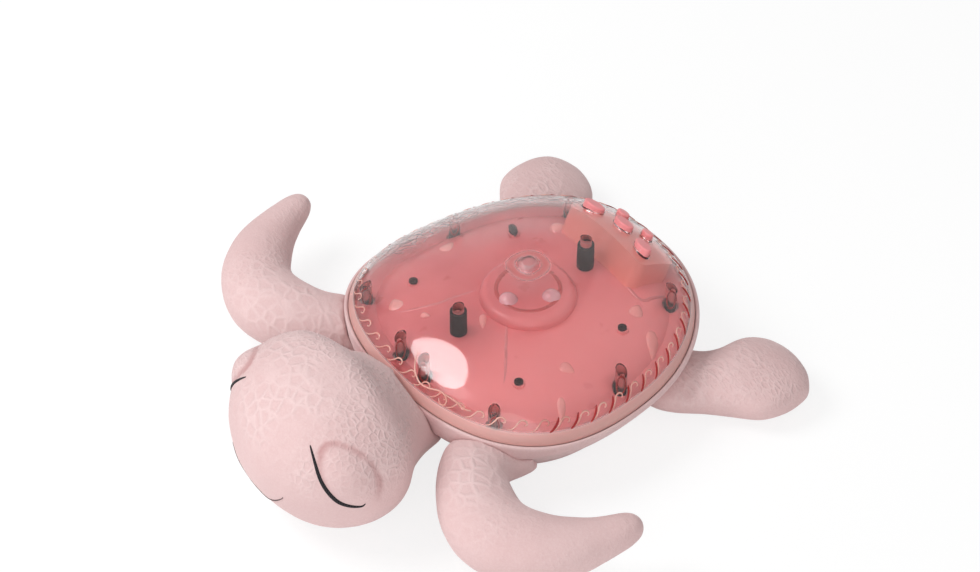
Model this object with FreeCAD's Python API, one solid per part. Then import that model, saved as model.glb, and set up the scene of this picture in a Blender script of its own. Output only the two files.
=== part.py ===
import FreeCAD, Part
import functools
import math
import os

# A stuffed sea turtle with a clear domed shell that holds a night light projector.
# Millimetres, +Z up, the head towards -Y, the turtle's own left side towards +X.
# It is drawn with the middle of the shell over x = 0, y = 0 and the table at z = 0.
# The saved parts are moved along Y so that the origin lies under the middle of the whole toy.

# Shell outline in plan and the dome over it
SHELL_FRONT = 95.6
SHELL_REAR = 93.8
SHELL_HALF_WIDTH = 93.2
SHELL_EXPONENT = 2.35
SHELL_TAPER = 0.00105
RIM_LOW = 39.3
RIM_CURVE = 490.0
DOME_RISE = 44.7
DOME_POWER = 0.66
DOME_WALL = 2.2
APEX_SCALE = 0.04
SEAM_GAP = 0.15

# Base shell: a tub with a flange that follows the rim
TUB_SCALE = 0.765
TUB_BOTTOM = 9.0
TUB_WALL = 2.2
FLANGE_INSET = 2.0
FLANGE_THICK = 2.2

# Reflector tray: a shelf on the flange and a raised island
SHELF_INSET = 4.2
TRAY_WALL = 2.0
TRAY_SCALE = 0.86
TRAY_RISE = 16.2
TRAY_EXPONENT = 5.0
TRAY_WINDOW_R = 22.0

# Posts moulded in the dome, each held by a screw from below
POST_R = 3.3
POST_CLEARANCE = 1.4
POST_HOLE_R = 1.55
POST_HOLE_DEPTH = 13.0
RIM_POST_SHARES = [(0.649, -0.722), (0.118, -0.837), (0.8315, 0.0533), (0.499, 0.7036)]
RIM_POSTS = [(across * SHELL_HALF_WIDTH, along * (SHELL_REAR if along > 0.0 else SHELL_FRONT))
             for across, along in RIM_POST_SHARES]
AXIS_POSTS = [(0.0, -48.5), (0.0, 41.0)]
SLEEVE_R = 4.8
SLEEVE_HEIGHT = 16.0
BOSS_R = 4.4
BOSS_DEPTH = 3.2

# Small screws, head and shank
SCREW_R = 1.5
SCREW_HEAD_R = 2.9
SCREW_HEAD = 1.9
SMALL_SCREW_R = 1.1
SMALL_HEAD_R = 2.1
SMALL_HEAD = 1.3
THREAD_CLEARANCE = 0.05
FIT = 0.2

# Tray screws and the columns under them
TRAY_SCREWS = [(49.5, -44.2), (50.5, 27.5)]
TRAY_SCREW_LENGTH = 9.0
COLUMN_R = 3.6

# Projector cap, lenses and lamps
CAP_R = 27.5
CAP_TOP = 62.0
CAP_WALL = 2.0
CAP_RING_WALL = 1.8
CAP_ROUND = 5.0
LAMP_COUNT = 3
LAMP_CIRCLE_R = 14.0
LENS_R = 5.4
LENS_HEIGHT = 3.4
LAMP_R = 2.5
LAMP_FLANGE_R = 2.9
LAMP_HEIGHT = 8.0
LAMP_BOARD_R = 19.0
BOARD_THICK = 1.6

# Wave disc and its drive
GEAR_MODULE = 0.8
DISC_TEETH = 60
PINION_TEETH = 12
PRESSURE_ANGLE = 20.0
BACKLASH = 0.14
DISC_BOTTOM = 48.6
DISC_THICK = 2.4
PINION_OVERHANG = 0.5
PIN_R = 1.5
PIN_RUNNING = 0.06
HUB_R = 4.2
HUB_HEIGHT = 4.0
RIPPLE_COUNT = 18

# Motor with gearbox, shaft up
GEARBOX_X = 12.0
GEARBOX_Y = 10.0
GEARBOX_Z = 9.0
MOTOR_Z = 15.0
GEARBOX_TOP = 40.0
SHAFT_R = 1.5
BRACKET_THICK = 0.8

# Projector chassis plate on legs over the battery bay
CHASSIS_HALF_X = 30.0
CHASSIS_FRONT = -25.0
CHASSIS_REAR = 36.0
CHASSIS_BOTTOM = 33.0
CHASSIS_THICK = 2.0
LEG_R = 3.2
CHASSIS_SCREW_END = 0.4
LAMP_BOARD_BOTTOM = 37.0

# Battery bay with three AA cells side by side
CELL_R = 7.25
CELL_LENGTH = 50.5
CELL_COUNT = 3
CELL_GAP = 0.5
SPRING_SPACE = 6.7
SPRING_THICK = 0.4
SPRING_WIDTH = 7.0
SPRING_HALF_HEIGHT = 5.0
CONTACT_THICK = 0.4
BAY_CENTRE_Y = -7.0
BAY_WALL = 2.0
BAY_HEADROOM = 1.2
DOOR_THICK = 2.2
DOOR_LEDGE = 2.5
DOOR_RIM = 1.2
DOOR_RIB = 1.6
DOOR_SCREW_X = 35.5
DOOR_EAR = 6.0
DOOR_SCREW_LENGTH = 5.9

# Speaker facing down in front of the bay
SPEAKER_BAY_GAP = 2.25
SPEAKER_FRONT_GAP = 1.93
SPEAKER_FLANGE = 1.2
SPEAKER_EDGE = 2.8
MAGNET_BOTTOM = 5.6
MAGNET_HEIGHT = 4.0
MAGNET_SHARE = 0.5
GRILLE_HOLE_R = 1.5

# Main board behind the bay
MAIN_BOARD_X = 56.0
MAIN_BOARD_MOTOR_GAP = 4.2
MAIN_BOARD_WALL_GAP = 5.56
BOARD_HOLE_X = 24.0
BOARD_HOLE_EDGE = 3.5
SOCKET_EDGE = 4.5
STANDOFF = 5.0
SOCKET_PITCH = 14.0
SOCKET_HEIGHT = 4.5
LEAD_R = 0.7
LEAD_BEND = 2.5

# Keypad at the rear of the dome, in a tilted frame on the dome's surface
KEYPAD_X = -2.5
KEYPAD_Y = 72.0
KEYPAD_TILT = 26.0
KEYPAD_HALF_U = 33.0
KEYPAD_HALF_V = 15.0
KEYPAD_WALL = 2.0
KEYPAD_PLATE = 1.5
BUTTON_PROUD = 3.2
BUTTON_CLEARANCE = 0.35
BUTTON_FLANGE = 1.2
BUTTON_LIP = 1.1
BUTTON_STEM = 0.5
RUBBER_SHEET = 0.8
RUBBER_DOME = 1.9
FRONT_BUTTON = (14.0, 7.8)
REAR_BUTTON = (8.8, 5.4)
BUTTONS = {
    "button_light": (-22.0, -5.5, 14.0, FRONT_BUTTON),
    "button_wave": (0.0, -1.7, 0.0, FRONT_BUTTON),
    "button_sound": (22.0, -5.5, -14.0, FRONT_BUTTON),
    "button_volume_down": (-11.0, 8.2, 6.0, REAR_BUTTON),
    "button_volume_up": (11.0, 8.2, -6.0, REAR_BUTTON),
}

# Stuffed body round the shell
BODY_LIP = 2.3
PLUSH_GAP = 0.3
POCKET_SCALE = 0.945
POCKET_DEPTH = 9.5
BODY_SECTIONS = [(0.745, 0.0), (0.782, 4.5), (0.816, 9.5), (0.868, 15.5), (0.914, 21.5), (0.95, 26.5),
                 (0.982, 31.0), (1.007, 34.2)]
BODY_SHOULDER = 36.6
BODY_TOP = 58.0
PANEL_SCALE = 0.7
BELLY_THICK = 8.6
BELLY_OPENING_X = 100.0
BELLY_OPENING_FRONT = -41.0
BELLY_OPENING_REAR = 37.0
FLAP_LIFT = 0.6
FLAP_THICK = 2.2
STRIP_THICK = 0.6
STRIP_WIDTH = 11.0
TONGUE_THICK = 1.6
TONGUE_REACH = 13.0
STRIP_LENGTH = 80.0

# Head
HEAD_X = 8.9
HEAD_Y = -145.8
HEAD_Z = 48.2
HEAD_HALF_X = 59.6
HEAD_HALF_Y = 46.8
HEAD_HALF_Z = 48.7

# Stations of the neck: y, x and z of the centre, half width, half height
NECK = [
    (-117.5, 7.5, 44.5, 46.0, 35.5),
    (-108.0, 5.5, 39.0, 40.0, 29.5),
    (-98.0, 3.5, 34.5, 36.5, 25.0),
    (-86.0, 2.0, 32.0, 35.0, 22.5),
    (-74.0, 1.5, 30.5, 33.5, 20.0),
]

# Face
EYELID_PLACE = (48.4, -16.0, 17.0)
EYELID_ALONG = (0.53, 0.33, -0.78)
EYELID_HALF_LENGTH = 26.0
EYELID_R = 15.9
EYELID_PROUD = 4.5
EYE_LINE = [(31.5, -27.0, 31.0), (46.5, -27.3, 11.0), (55.5, -17.0, -2.0)]
MOUTH_LINE = [(-24.0, -42.5, -5.7), (0.0, -41.0, -24.0), (24.0, -42.5, -5.7)]
EYE_THREAD_R = 1.0
MOUTH_THREAD_R = 0.6

# Stations of the flippers: x, y, z of the centre, half width, half thickness
FRONT_FLIPPER = [
    (55.0, -63.0, 28.0, 16.5, 13.0),
    (64.5, -78.0, 29.0, 20.5, 15.5),
    (71.0, -91.0, 32.0, 18.8, 16.5),
    (88.0, -102.5, 31.5, 21.0, 19.5),
    (111.0, -107.5, 31.0, 22.0, 20.5),
    (132.0, -99.0, 32.5, 20.0, 18.5),
    (146.5, -82.0, 35.0, 16.0, 15.0),
    (153.5, -66.0, 37.5, 11.5, 11.5),
    (157.0, -54.0, 39.3, 8.8, 9.0),
    (158.5, -48.0, 40.2, 6.0, 6.4),
    (159.0, -45.5, 40.5, 2.6, 3.0),
]
REAR_FLIPPER = [
    (54.0, 38.0, 15.0, 20.0, 12.0),
    (66.5, 46.8, 15.5, 20.5, 12.5),
    (79.0, 59.3, 15.5, 21.0, 13.5),
    (89.5, 73.5, 16.0, 22.5, 15.5),
    (97.5, 88.0, 16.0, 29.0, 16.0),
    (107.5, 99.0, 15.5, 24.5, 14.5),
    (115.0, 107.0, 15.0, 14.5, 10.0),
    (118.0, 111.0, 15.0, 7.0, 5.0),
]

parts = {}


def vec(x, y, z):
    return FreeCAD.Vector(x, y, z)


def cylinder(x, y, z, radius, height):
    return Part.makeCylinder(radius, height, vec(x, y, z))


def box(x0, y0, z0, x1, y1, z1):
    return Part.makeBox(x1 - x0, y1 - y0, z1 - z0, vec(x0, y0, z0))


def both_sides(points):
    """Each point and its mirror image across the middle plane."""
    pairs = []
    for x, y in points:
        pairs.append((x, y))
        if abs(x) > 0.01:
            pairs.append((-x, y))
    return pairs


def join(solids):
    whole = solids[0]
    for solid in solids[1:]:
        whole = whole.fuse(solid)
    return whole


def group(solids):
    return Part.makeCompound(solids)


def largest(shape):
    """The largest solid of a shape, without the pieces that a cut leaves behind."""
    return max(shape.Solids, key=lambda solid: solid.Volume)


def level_edges(shape, level):
    """The edges that lie flat at a level."""
    flat = [edge for edge in shape.Edges if edge.BoundBox.ZLength < 0.01]
    return [edge for edge in flat if abs(edge.BoundBox.ZMin - level) < 0.01]


def saddle(y):
    """Height of the shell's rim line at a place along the body."""
    return RIM_LOW + RIM_CURVE - math.sqrt(RIM_CURVE ** 2 - y ** 2)


def above_rim(lift):
    """Everything above the rim surface once that is raised by lift."""
    roller = Part.makeCylinder(RIM_CURVE, 600.0, vec(-300.0, 0.0, RIM_LOW + lift + RIM_CURVE), vec(1, 0, 0))
    return roller


def outline_point(angle, scale, inset):
    """A point of the shell's plan outline, drawn in or scaled about the origin."""
    power = 2.0 / SHELL_EXPONENT
    c = math.cos(angle)
    s = math.sin(angle)
    length = SHELL_REAR if s > 0 else SHELL_FRONT
    y = math.copysign(abs(s) ** power, s) * (length * scale - inset)
    full_y = math.copysign(abs(s) ** power, s) * length
    half = (SHELL_HALF_WIDTH * (1.0 - SHELL_TAPER * full_y)) * scale - inset
    x = math.copysign(abs(c) ** power, c) * half
    return x, y


def outline_wire(scale, inset, height):
    """The outline as a closed curve. height gives z, as a number or from a point's y."""
    count = 28
    points = []
    for i in range(count):
        x, y = outline_point(2.0 * math.pi * (i + 0.5) / count, scale, inset)
        z = height(y) if callable(height) else height
        points.append(vec(x, y, z))
    curve = Part.BSplineCurve()
    curve.interpolate(Points=points, PeriodicFlag=True)
    return Part.Wire(curve.toShape())


def outline_prism(scale, inset, bottom, top):
    face = Part.Face(outline_wire(scale, inset, bottom))
    return face.extrude(vec(0, 0, top - bottom))


def shell_scale(x, y):
    """Which scale of the outline passes through a plan point."""
    length = SHELL_REAR if y > 0 else SHELL_FRONT
    half = SHELL_HALF_WIDTH * (1.0 - SHELL_TAPER * y)
    return ((abs(y) / length) ** SHELL_EXPONENT + (abs(x) / half) ** SHELL_EXPONENT) ** (1.0 / SHELL_EXPONENT)


def dome_profile(scale):
    """Share of the dome's rise that is reached at a scale of the outline."""
    return (1.0 - scale ** 2) ** DOME_POWER


def dome_height(x, y):
    return saddle(y) + DOME_RISE * dome_profile(shell_scale(x, y))


@functools.lru_cache(maxsize=None)
def dome_solid(inset):
    """The filled dome, drawn in by inset, with a straight skirt below its rim."""
    rise = DOME_RISE - inset
    wires = [outline_wire(1.0, inset, RIM_LOW - 8.0)]
    for scale in (1.0, 0.985, 0.95, 0.88, 0.76, 0.6, 0.4, 0.2):
        lift = rise * dome_profile(scale)
        wires.append(outline_wire(scale, inset * scale, lambda y, lift=lift: saddle(y) + lift))
    wires.append(outline_wire(APEX_SCALE, 0.0, RIM_LOW + rise))
    return Part.makeLoft(wires, True, False)


def tray_profile(scale):
    """Share of the tray's rise at a scale of the outline."""
    return (1.0 - (scale / TRAY_SCALE) ** TRAY_EXPONENT) ** 0.9


@functools.lru_cache(maxsize=None)
def tray_solid(inset):
    """The filled island of the tray, drawn in by inset."""
    rise = TRAY_RISE - inset
    wires = [outline_wire(TRAY_SCALE, inset, RIM_LOW - 6.0)]
    wires.append(outline_wire(TRAY_SCALE, inset, lambda y: saddle(y) - inset))
    for share in (0.97, 0.91, 0.83, 0.72, 0.55, 0.3):
        scale = TRAY_SCALE * share
        lift = rise * tray_profile(scale)
        wires.append(outline_wire(scale, inset * share, lambda y, lift=lift: saddle(y) + lift))
    wires.append(outline_wire(APEX_SCALE, 0.0, RIM_LOW + rise))
    return Part.makeLoft(wires, True, False)


def tray_height(x, y):
    scale = shell_scale(x, y)
    if scale >= TRAY_SCALE:
        return saddle(y) + TRAY_WALL
    return max(saddle(y) + TRAY_WALL, saddle(y) + TRAY_RISE * tray_profile(scale))


def cross_recess(x, y, z, reach, depth):
    """The crossed slots of a screw head whose top face is at z."""
    half = reach * 0.16
    slot = box(x - reach * 0.62, y - half, z - depth, x + reach * 0.62, y + half, z + 1.0)
    other = box(x - half, y - reach * 0.62, z - depth, x + half, y + reach * 0.62, z + 1.0)
    return slot.fuse(other)


def screw_up(x, y, seat, head_r, head, shank_r, length):
    """A screw driven upwards: its head hangs below the seat."""
    shape = cylinder(x, y, seat - head, head_r, head).fuse(cylinder(x, y, seat - 0.01, shank_r, length))
    slots = cross_recess(x, y, seat - head * 0.4, head_r, head)
    return shape.cut(slots.common(cylinder(x, y, seat - 2.0 * head, head_r, 1.6 * head)))


def screw_down(x, y, seat, head_r, head, shank_r, length):
    """A screw driven downwards: its head stands on the seat."""
    shape = cylinder(x, y, seat, head_r, head).fuse(cylinder(x, y, seat - length, shank_r, length + 0.01))
    return shape.cut(cross_recess(x, y, seat + head, head_r, head * 0.6))


def keypad_place():
    """The keypad's tilted frame: u to the side, v down the slope, w out of the dome."""
    origin = vec(KEYPAD_X, KEYPAD_Y, dome_height(KEYPAD_X, KEYPAD_Y))
    return FreeCAD.Placement(origin, FreeCAD.Rotation(vec(1, 0, 0), -KEYPAD_TILT))


def on_keypad(shape):
    placed = shape.copy()
    placed.Placement = keypad_place().multiply(shape.Placement)
    return placed


def surface_level(u, v):
    """How far along w the dome's outer face lies at a place of the keypad frame."""
    low = -20.0
    high = 20.0
    while high - low > 0.001:
        w = 0.5 * (low + high)
        point = keypad_place().multVec(vec(u, v, w))
        if point.z < dome_height(point.x, point.y):
            low = w
        else:
            high = w
    return low


def oval_prism(u, v, turn, length, width, bottom, top):
    """An elliptical prism in the keypad frame."""
    ellipse = Part.Ellipse(vec(0, 0, 0), length / 2.0, width / 2.0)
    face = Part.Face(Part.Wire(ellipse.toShape()))
    prism = face.extrude(vec(0, 0, top - bottom))
    prism.Placement = FreeCAD.Placement(vec(u, v, bottom), FreeCAD.Rotation(vec(0, 0, 1), turn))
    return prism


def rounded_block(half_x, half_y, bottom, top, radius):
    block = box(-half_x, -half_y, bottom, half_x, half_y, top)
    upright = [edge for edge in block.Edges if abs(edge.tangentAt(edge.FirstParameter).z) > 0.9]
    return block.makeFillet(radius, upright)


# Levels in the keypad frame, from the guide collars down to the board
COLLAR_BOTTOM = -7.1
FLANGE_TOP = COLLAR_BOTTOM - 0.1
FLANGE_BOTTOM = FLANGE_TOP - BUTTON_FLANGE
STEM_BOTTOM = FLANGE_BOTTOM - BUTTON_STEM
RUBBER_TOP = STEM_BOTTOM - 0.1
SHEET_TOP = RUBBER_TOP - RUBBER_DOME
SHEET_BOTTOM = SHEET_TOP - RUBBER_SHEET
BUTTON_BOARD_BOTTOM = SHEET_BOTTOM - BOARD_THICK
KEYPAD_COLUMNS = [(10.4, -10.3), (25.0, 8.5)]


def button(name):
    """One oval button: a cap through the dome, a flange under the collar and a stem."""
    u, v, turn, (length, width) = BUTTONS[name]
    top = surface_level(u, v) + BUTTON_PROUD
    cap = oval_prism(u, v, turn, length, width, FLANGE_TOP - 0.1, top)
    cap = cap.makeFillet(BUTTON_PROUD * 0.3, level_edges(cap, top))
    flange = oval_prism(u, v, turn, length + 2 * BUTTON_LIP, width + 2 * BUTTON_LIP, FLANGE_BOTTOM, FLANGE_TOP)
    stem = cylinder(u, v, STEM_BOTTOM, width * 0.3, BUTTON_STEM + 0.1)
    return on_keypad(join([cap, flange, stem]))


def button_holes(clearance, bottom, top):
    holes = []
    for u, v, turn, (length, width) in BUTTONS.values():
        grown = 2.0 * clearance
        holes.append(on_keypad(oval_prism(u, v, turn, length + grown, width + grown, bottom, top)))
    return holes


def keypad_housing():
    """Raised block from the tray to the underside of the dome, with a collar round each button."""
    inner_face = DOME_WALL + PLUSH_GAP
    block = on_keypad(rounded_block(KEYPAD_HALF_U, KEYPAD_HALF_V, -34.0, 2.0, 6.0))
    hollow = rounded_block(KEYPAD_HALF_U - KEYPAD_WALL, KEYPAD_HALF_V - KEYPAD_WALL, -36.0, 2.0, 4.0)
    shape = block.common(dome_solid(inner_face))
    shape = shape.cut(on_keypad(hollow).common(dome_solid(inner_face + KEYPAD_PLATE)))
    top = dome_solid(inner_face)
    for collar in button_holes(BUTTON_CLEARANCE + KEYPAD_PLATE, COLLAR_BOTTOM, 2.0):
        shape = shape.fuse(collar.common(top))
    for u, v in both_sides(KEYPAD_COLUMNS):
        column = on_keypad(cylinder(u, v, SHEET_TOP, 2.0, 14.0)).common(top)
        shape = shape.fuse(column)
    for hole in button_holes(BUTTON_CLEARANCE, -12.0, 6.0):
        shape = shape.cut(hole)
    for room in button_holes(BUTTON_LIP + BUTTON_CLEARANCE, -12.0, COLLAR_BOTTOM):
        shape = shape.cut(room)
    for u, v in both_sides(KEYPAD_COLUMNS):
        shape = shape.cut(on_keypad(cylinder(u, v, SHEET_TOP - 1.0, SMALL_SCREW_R + THREAD_CLEARANCE, 5.0)))
    return largest(shape.cut(tray_block()))


def rubber_keypad():
    sheet = box(-KEYPAD_HALF_U + 4.5, -KEYPAD_HALF_V + 3.0, SHEET_BOTTOM, KEYPAD_HALF_U - 4.5,
                KEYPAD_HALF_V - 3.0, SHEET_TOP)
    for u, v, turn, (length, width) in BUTTONS.values():
        sheet = sheet.fuse(Part.makeCone(width * 0.4, width * 0.3, RUBBER_DOME, vec(u, v, SHEET_TOP)))
    for u, v in both_sides(KEYPAD_COLUMNS):
        sheet = sheet.cut(cylinder(u, v, SHEET_BOTTOM - 1.0, SMALL_SCREW_R + FIT, 4.0))
    return on_keypad(sheet)


def button_board():
    board = box(-KEYPAD_HALF_U + 4.5, -KEYPAD_HALF_V + 3.0, BUTTON_BOARD_BOTTOM, KEYPAD_HALF_U - 4.5,
                KEYPAD_HALF_V - 3.0, SHEET_BOTTOM)
    for u, v in both_sides(KEYPAD_COLUMNS):
        board = board.cut(cylinder(u, v, BUTTON_BOARD_BOTTOM - 1.0, SMALL_SCREW_R + FIT, 4.0))
    return on_keypad(board)


def keypad_screws():
    screws = []
    for u, v in both_sides(KEYPAD_COLUMNS):
        screw = screw_up(u, v, BUTTON_BOARD_BOTTOM, SMALL_HEAD_R, SMALL_HEAD, SMALL_SCREW_R, 6.0)
        screws.append(on_keypad(screw))
    return group(screws)


def post_bottom(x, y):
    """Rim posts stand on the base flange, axis posts on the tray."""
    if (x, y) in AXIS_POSTS:
        return tray_height(x, y) + FIT
    return saddle(y) + FIT


def screw_seat(x, y):
    """Where the head of a shell screw sits, under the flange's boss or under the tray's boss."""
    if (x, y) in AXIS_POSTS:
        return tray_height(x, y) - TRAY_WALL - 1.0
    return saddle(y) - SEAM_GAP - FLANGE_THICK - BOSS_DEPTH


def all_posts():
    return both_sides(RIM_POSTS) + AXIS_POSTS


def shell_dome():
    shell = dome_solid(0.0).cut(dome_solid(DOME_WALL)).common(above_rim(0.0))
    skin = dome_solid(DOME_WALL * 0.5)
    for x, y in all_posts():
        post = cylinder(x, y, post_bottom(x, y) - 2.0, POST_R, 60.0).common(skin)
        if (x, y) in AXIS_POSTS:
            post = post.cut(tray_block())
        else:
            post = post.common(above_rim(SEAM_GAP))
        shell = shell.fuse(post)
    for x, y in all_posts():
        bottom = post_bottom(x, y)
        shell = shell.cut(cylinder(x, y, bottom - 2.0, POST_HOLE_R, POST_HOLE_DEPTH + 2.0))
    for hole in button_holes(BUTTON_CLEARANCE, -6.0, 8.0):
        shell = shell.cut(hole)
    return shell


def dome_screws():
    screws = []
    for x, y in all_posts():
        seat = screw_seat(x, y)
        length = post_bottom(x, y) + POST_HOLE_DEPTH - 1.5 - seat
        screws.append(screw_up(x, y, seat, SCREW_HEAD_R, SCREW_HEAD, SCREW_R, length))
    return group(screws)


def post_sleeves():
    sleeves = []
    for x, y in AXIS_POSTS:
        bottom = tray_height(x, y)
        ring = cylinder(x, y, bottom - 3.0, SLEEVE_R, SLEEVE_HEIGHT + 3.0)
        bore = cylinder(x, y, bottom - 4.0, POST_R + THREAD_CLEARANCE, SLEEVE_HEIGHT + 5.0)
        sleeves.append(ring.cut(bore).cut(tray_block()))
    return group(sleeves)


@functools.lru_cache(maxsize=None)
def tray_block():
    """The tray with its underside filled: the shelf and the island as one lump."""
    shelf = outline_prism(1.0, SHELF_INSET, RIM_LOW - 6.0, RIM_LOW + 20.0).cut(above_rim(TRAY_WALL))
    return shelf.fuse(tray_solid(0.0))


def tray_screw_top(x, y):
    return tray_height(x, y) + 0.8


def tray_screw_seat(x, y):
    return tray_height(x, y) - TRAY_WALL - 1.2


def reflector_tray():
    shape = tray_block().common(above_rim(0.0)).cut(tray_solid(TRAY_WALL))
    lump = tray_block()
    for x, y in both_sides(TRAY_SCREWS):
        seat = tray_screw_seat(x, y)
        pad = cylinder(x, y, seat, COLUMN_R, tray_screw_top(x, y) - seat)
        shape = shape.fuse(pad)
    for x, y in AXIS_POSTS:
        seat = screw_seat(x, y)
        shape = shape.fuse(cylinder(x, y, seat, BOSS_R, 3.0).common(lump))
    for x, y in both_sides(RIM_POSTS):
        shape = shape.cut(cylinder(x, y, RIM_LOW - 10.0, POST_R + POST_CLEARANCE, 60.0))
    for x, y in AXIS_POSTS:
        shape = shape.cut(cylinder(x, y, RIM_LOW, SCREW_R + FIT, 40.0))
    for x, y in both_sides(TRAY_SCREWS):
        shape = shape.cut(cylinder(x, y, RIM_LOW, SMALL_SCREW_R + FIT, 40.0))
    shape = shape.cut(cylinder(0.0, 0.0, RIM_LOW, TRAY_WINDOW_R, 40.0))
    return shape.cut(wire_slot())


def wire_slot():
    """Slot in the tray under the keypad for the keypad's lead."""
    front = MAIN_BOARD_CENTRE_Y + SOCKET_Y - 3.0
    return box(-6.0, front, RIM_LOW, 6.0, front + 8.0, RIM_LOW + 30.0)


def tray_screws():
    screws = []
    for x, y in both_sides(TRAY_SCREWS):
        top = tray_screw_top(x, y)
        screws.append(screw_down(x, y, top, SMALL_HEAD_R + 0.4, SMALL_HEAD, SMALL_SCREW_R, TRAY_SCREW_LENGTH))
    return group(screws)


# Levels and plan sizes of the battery bay
BAY_HALF_X = (CELL_LENGTH + SPRING_SPACE) / 2.0 + CONTACT_THICK
BAY_HALF_Y = CELL_COUNT * CELL_R + (CELL_COUNT + 1) * CELL_GAP / 2.0
BAY_FLOOR = TUB_BOTTOM + DOOR_THICK
CELL_Z = BAY_FLOOR + CELL_GAP + CELL_R
BAY_TOP = CELL_Z + CELL_R + BAY_HEADROOM
CEILING_TOP = BAY_TOP + BAY_WALL
FLOOR_TOP = TUB_BOTTOM + TUB_WALL
BOARD_TOP = FLOOR_TOP + STANDOFF + BOARD_THICK
LEG_PLACES = [(24.0, -20.0), (24.0, 10.0)]
BAY_FRONT = BAY_CENTRE_Y - BAY_HALF_Y - BAY_WALL
SPEAKER_ROOM = BAY_FRONT + SHELL_FRONT * TUB_SCALE - TUB_WALL
SPEAKER_R = (SPEAKER_ROOM - SPEAKER_BAY_GAP - SPEAKER_FRONT_GAP) / 2.0
SPEAKER_Y = BAY_FRONT - SPEAKER_BAY_GAP - SPEAKER_R
SPEAKER_SCREW_X = SPEAKER_R + 1.6


def cell_y(index):
    return BAY_CENTRE_Y + (index - (CELL_COUNT - 1) / 2.0) * (2.0 * CELL_R + CELL_GAP)


def door_plan(clearance, bottom, top):
    """The door's plate with its two screw ears, grown by a clearance."""
    half_x = BAY_HALF_X + DOOR_LEDGE + clearance
    half_y = BAY_HALF_Y + DOOR_LEDGE + clearance
    plate = box(-half_x, BAY_CENTRE_Y - half_y, bottom, half_x, BAY_CENTRE_Y + half_y, top)
    for side in (-1.0, 1.0):
        ear = cylinder(side * DOOR_SCREW_X, BAY_CENTRE_Y, bottom, DOOR_EAR + clearance, top - bottom)
        plate = plate.fuse(ear)
    return plate


def grille_holes():
    holes = [cylinder(0.0, SPEAKER_Y, TUB_BOTTOM - 1.0, GRILLE_HOLE_R, TUB_WALL + 2.0)]
    for ring, count in ((5.0, 6), (10.0, 12)):
        for i in range(count):
            angle = 2.0 * math.pi * i / count
            x = ring * math.cos(angle)
            y = SPEAKER_Y + ring * math.sin(angle)
            holes.append(cylinder(x, y, TUB_BOTTOM - 1.0, GRILLE_HOLE_R, TUB_WALL + 2.0))
    return holes


def tub_with_flange():
    tub = outline_prism(TUB_SCALE, 0.0, TUB_BOTTOM, RIM_LOW + 20.0).cut(above_rim(-SEAM_GAP))
    flange = outline_prism(1.0, FLANGE_INSET, RIM_LOW - 10.0, RIM_LOW + 20.0)
    flange = flange.cut(above_rim(-SEAM_GAP)).common(above_rim(-SEAM_GAP - FLANGE_THICK))
    hollow = outline_prism(TUB_SCALE, TUB_WALL, FLOOR_TOP, RIM_LOW + 30.0)
    return tub.fuse(flange).cut(hollow)


def rim_bosses():
    """Bosses under the flange that the shell screws pass through."""
    bosses = []
    for x, y in both_sides(RIM_POSTS):
        seat = screw_seat(x, y)
        bosses.append(cylinder(x, y, seat, BOSS_R, 12.0).cut(above_rim(-SEAM_GAP)))
    return bosses


def base_columns():
    """Columns for the tray screws, the main board and the chassis legs."""
    columns = []
    for x, y in both_sides(TRAY_SCREWS):
        top = tray_screw_seat(x, y) - 0.1
        column = cylinder(x, y, FLOOR_TOP - 0.5, COLUMN_R, top - FLOOR_TOP + 0.5)
        bottom = top - TRAY_SCREW_LENGTH
        hole = cylinder(x, y, bottom, SMALL_SCREW_R + THREAD_CLEARANCE, TRAY_SCREW_LENGTH + 1.0)
        columns.append(column.cut(hole))
    for x, y in both_sides(BOARD_HOLES):
        centre_y = MAIN_BOARD_CENTRE_Y + y
        column = cylinder(x, centre_y, FLOOR_TOP - 0.5, 2.4, STANDOFF + 0.5)
        hole = cylinder(x, centre_y, FLOOR_TOP + 0.5, SMALL_SCREW_R + THREAD_CLEARANCE, STANDOFF)
        columns.append(column.cut(hole))
    for x, y in both_sides(LEG_PLACES):
        top = CHASSIS_BOTTOM
        column = cylinder(x, y, CEILING_TOP - 0.5, LEG_R, top - CEILING_TOP + 0.5)
        hole = cylinder(x, y, CEILING_TOP + 0.2, SMALL_SCREW_R + THREAD_CLEARANCE, top - CEILING_TOP)
        columns.append(column.cut(hole))
    return columns


def speaker_seat():
    ring = cylinder(0.0, SPEAKER_Y, FLOOR_TOP - 0.5, SPEAKER_R + 1.2, 1.5)
    ring = ring.cut(cylinder(0.0, SPEAKER_Y, FLOOR_TOP - 1.0, SPEAKER_R + FIT, 3.0))
    for side in (-1.0, 1.0):
        x = side * SPEAKER_SCREW_X
        boss = cylinder(x, SPEAKER_Y, FLOOR_TOP - 0.5, 2.2, SPEAKER_FLANGE + 0.5)
        boss = boss.cut(cylinder(0.0, SPEAKER_Y, FLOOR_TOP - 1.0, SPEAKER_R + FIT, 4.0))
        ring = ring.fuse(boss)
    return ring


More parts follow.
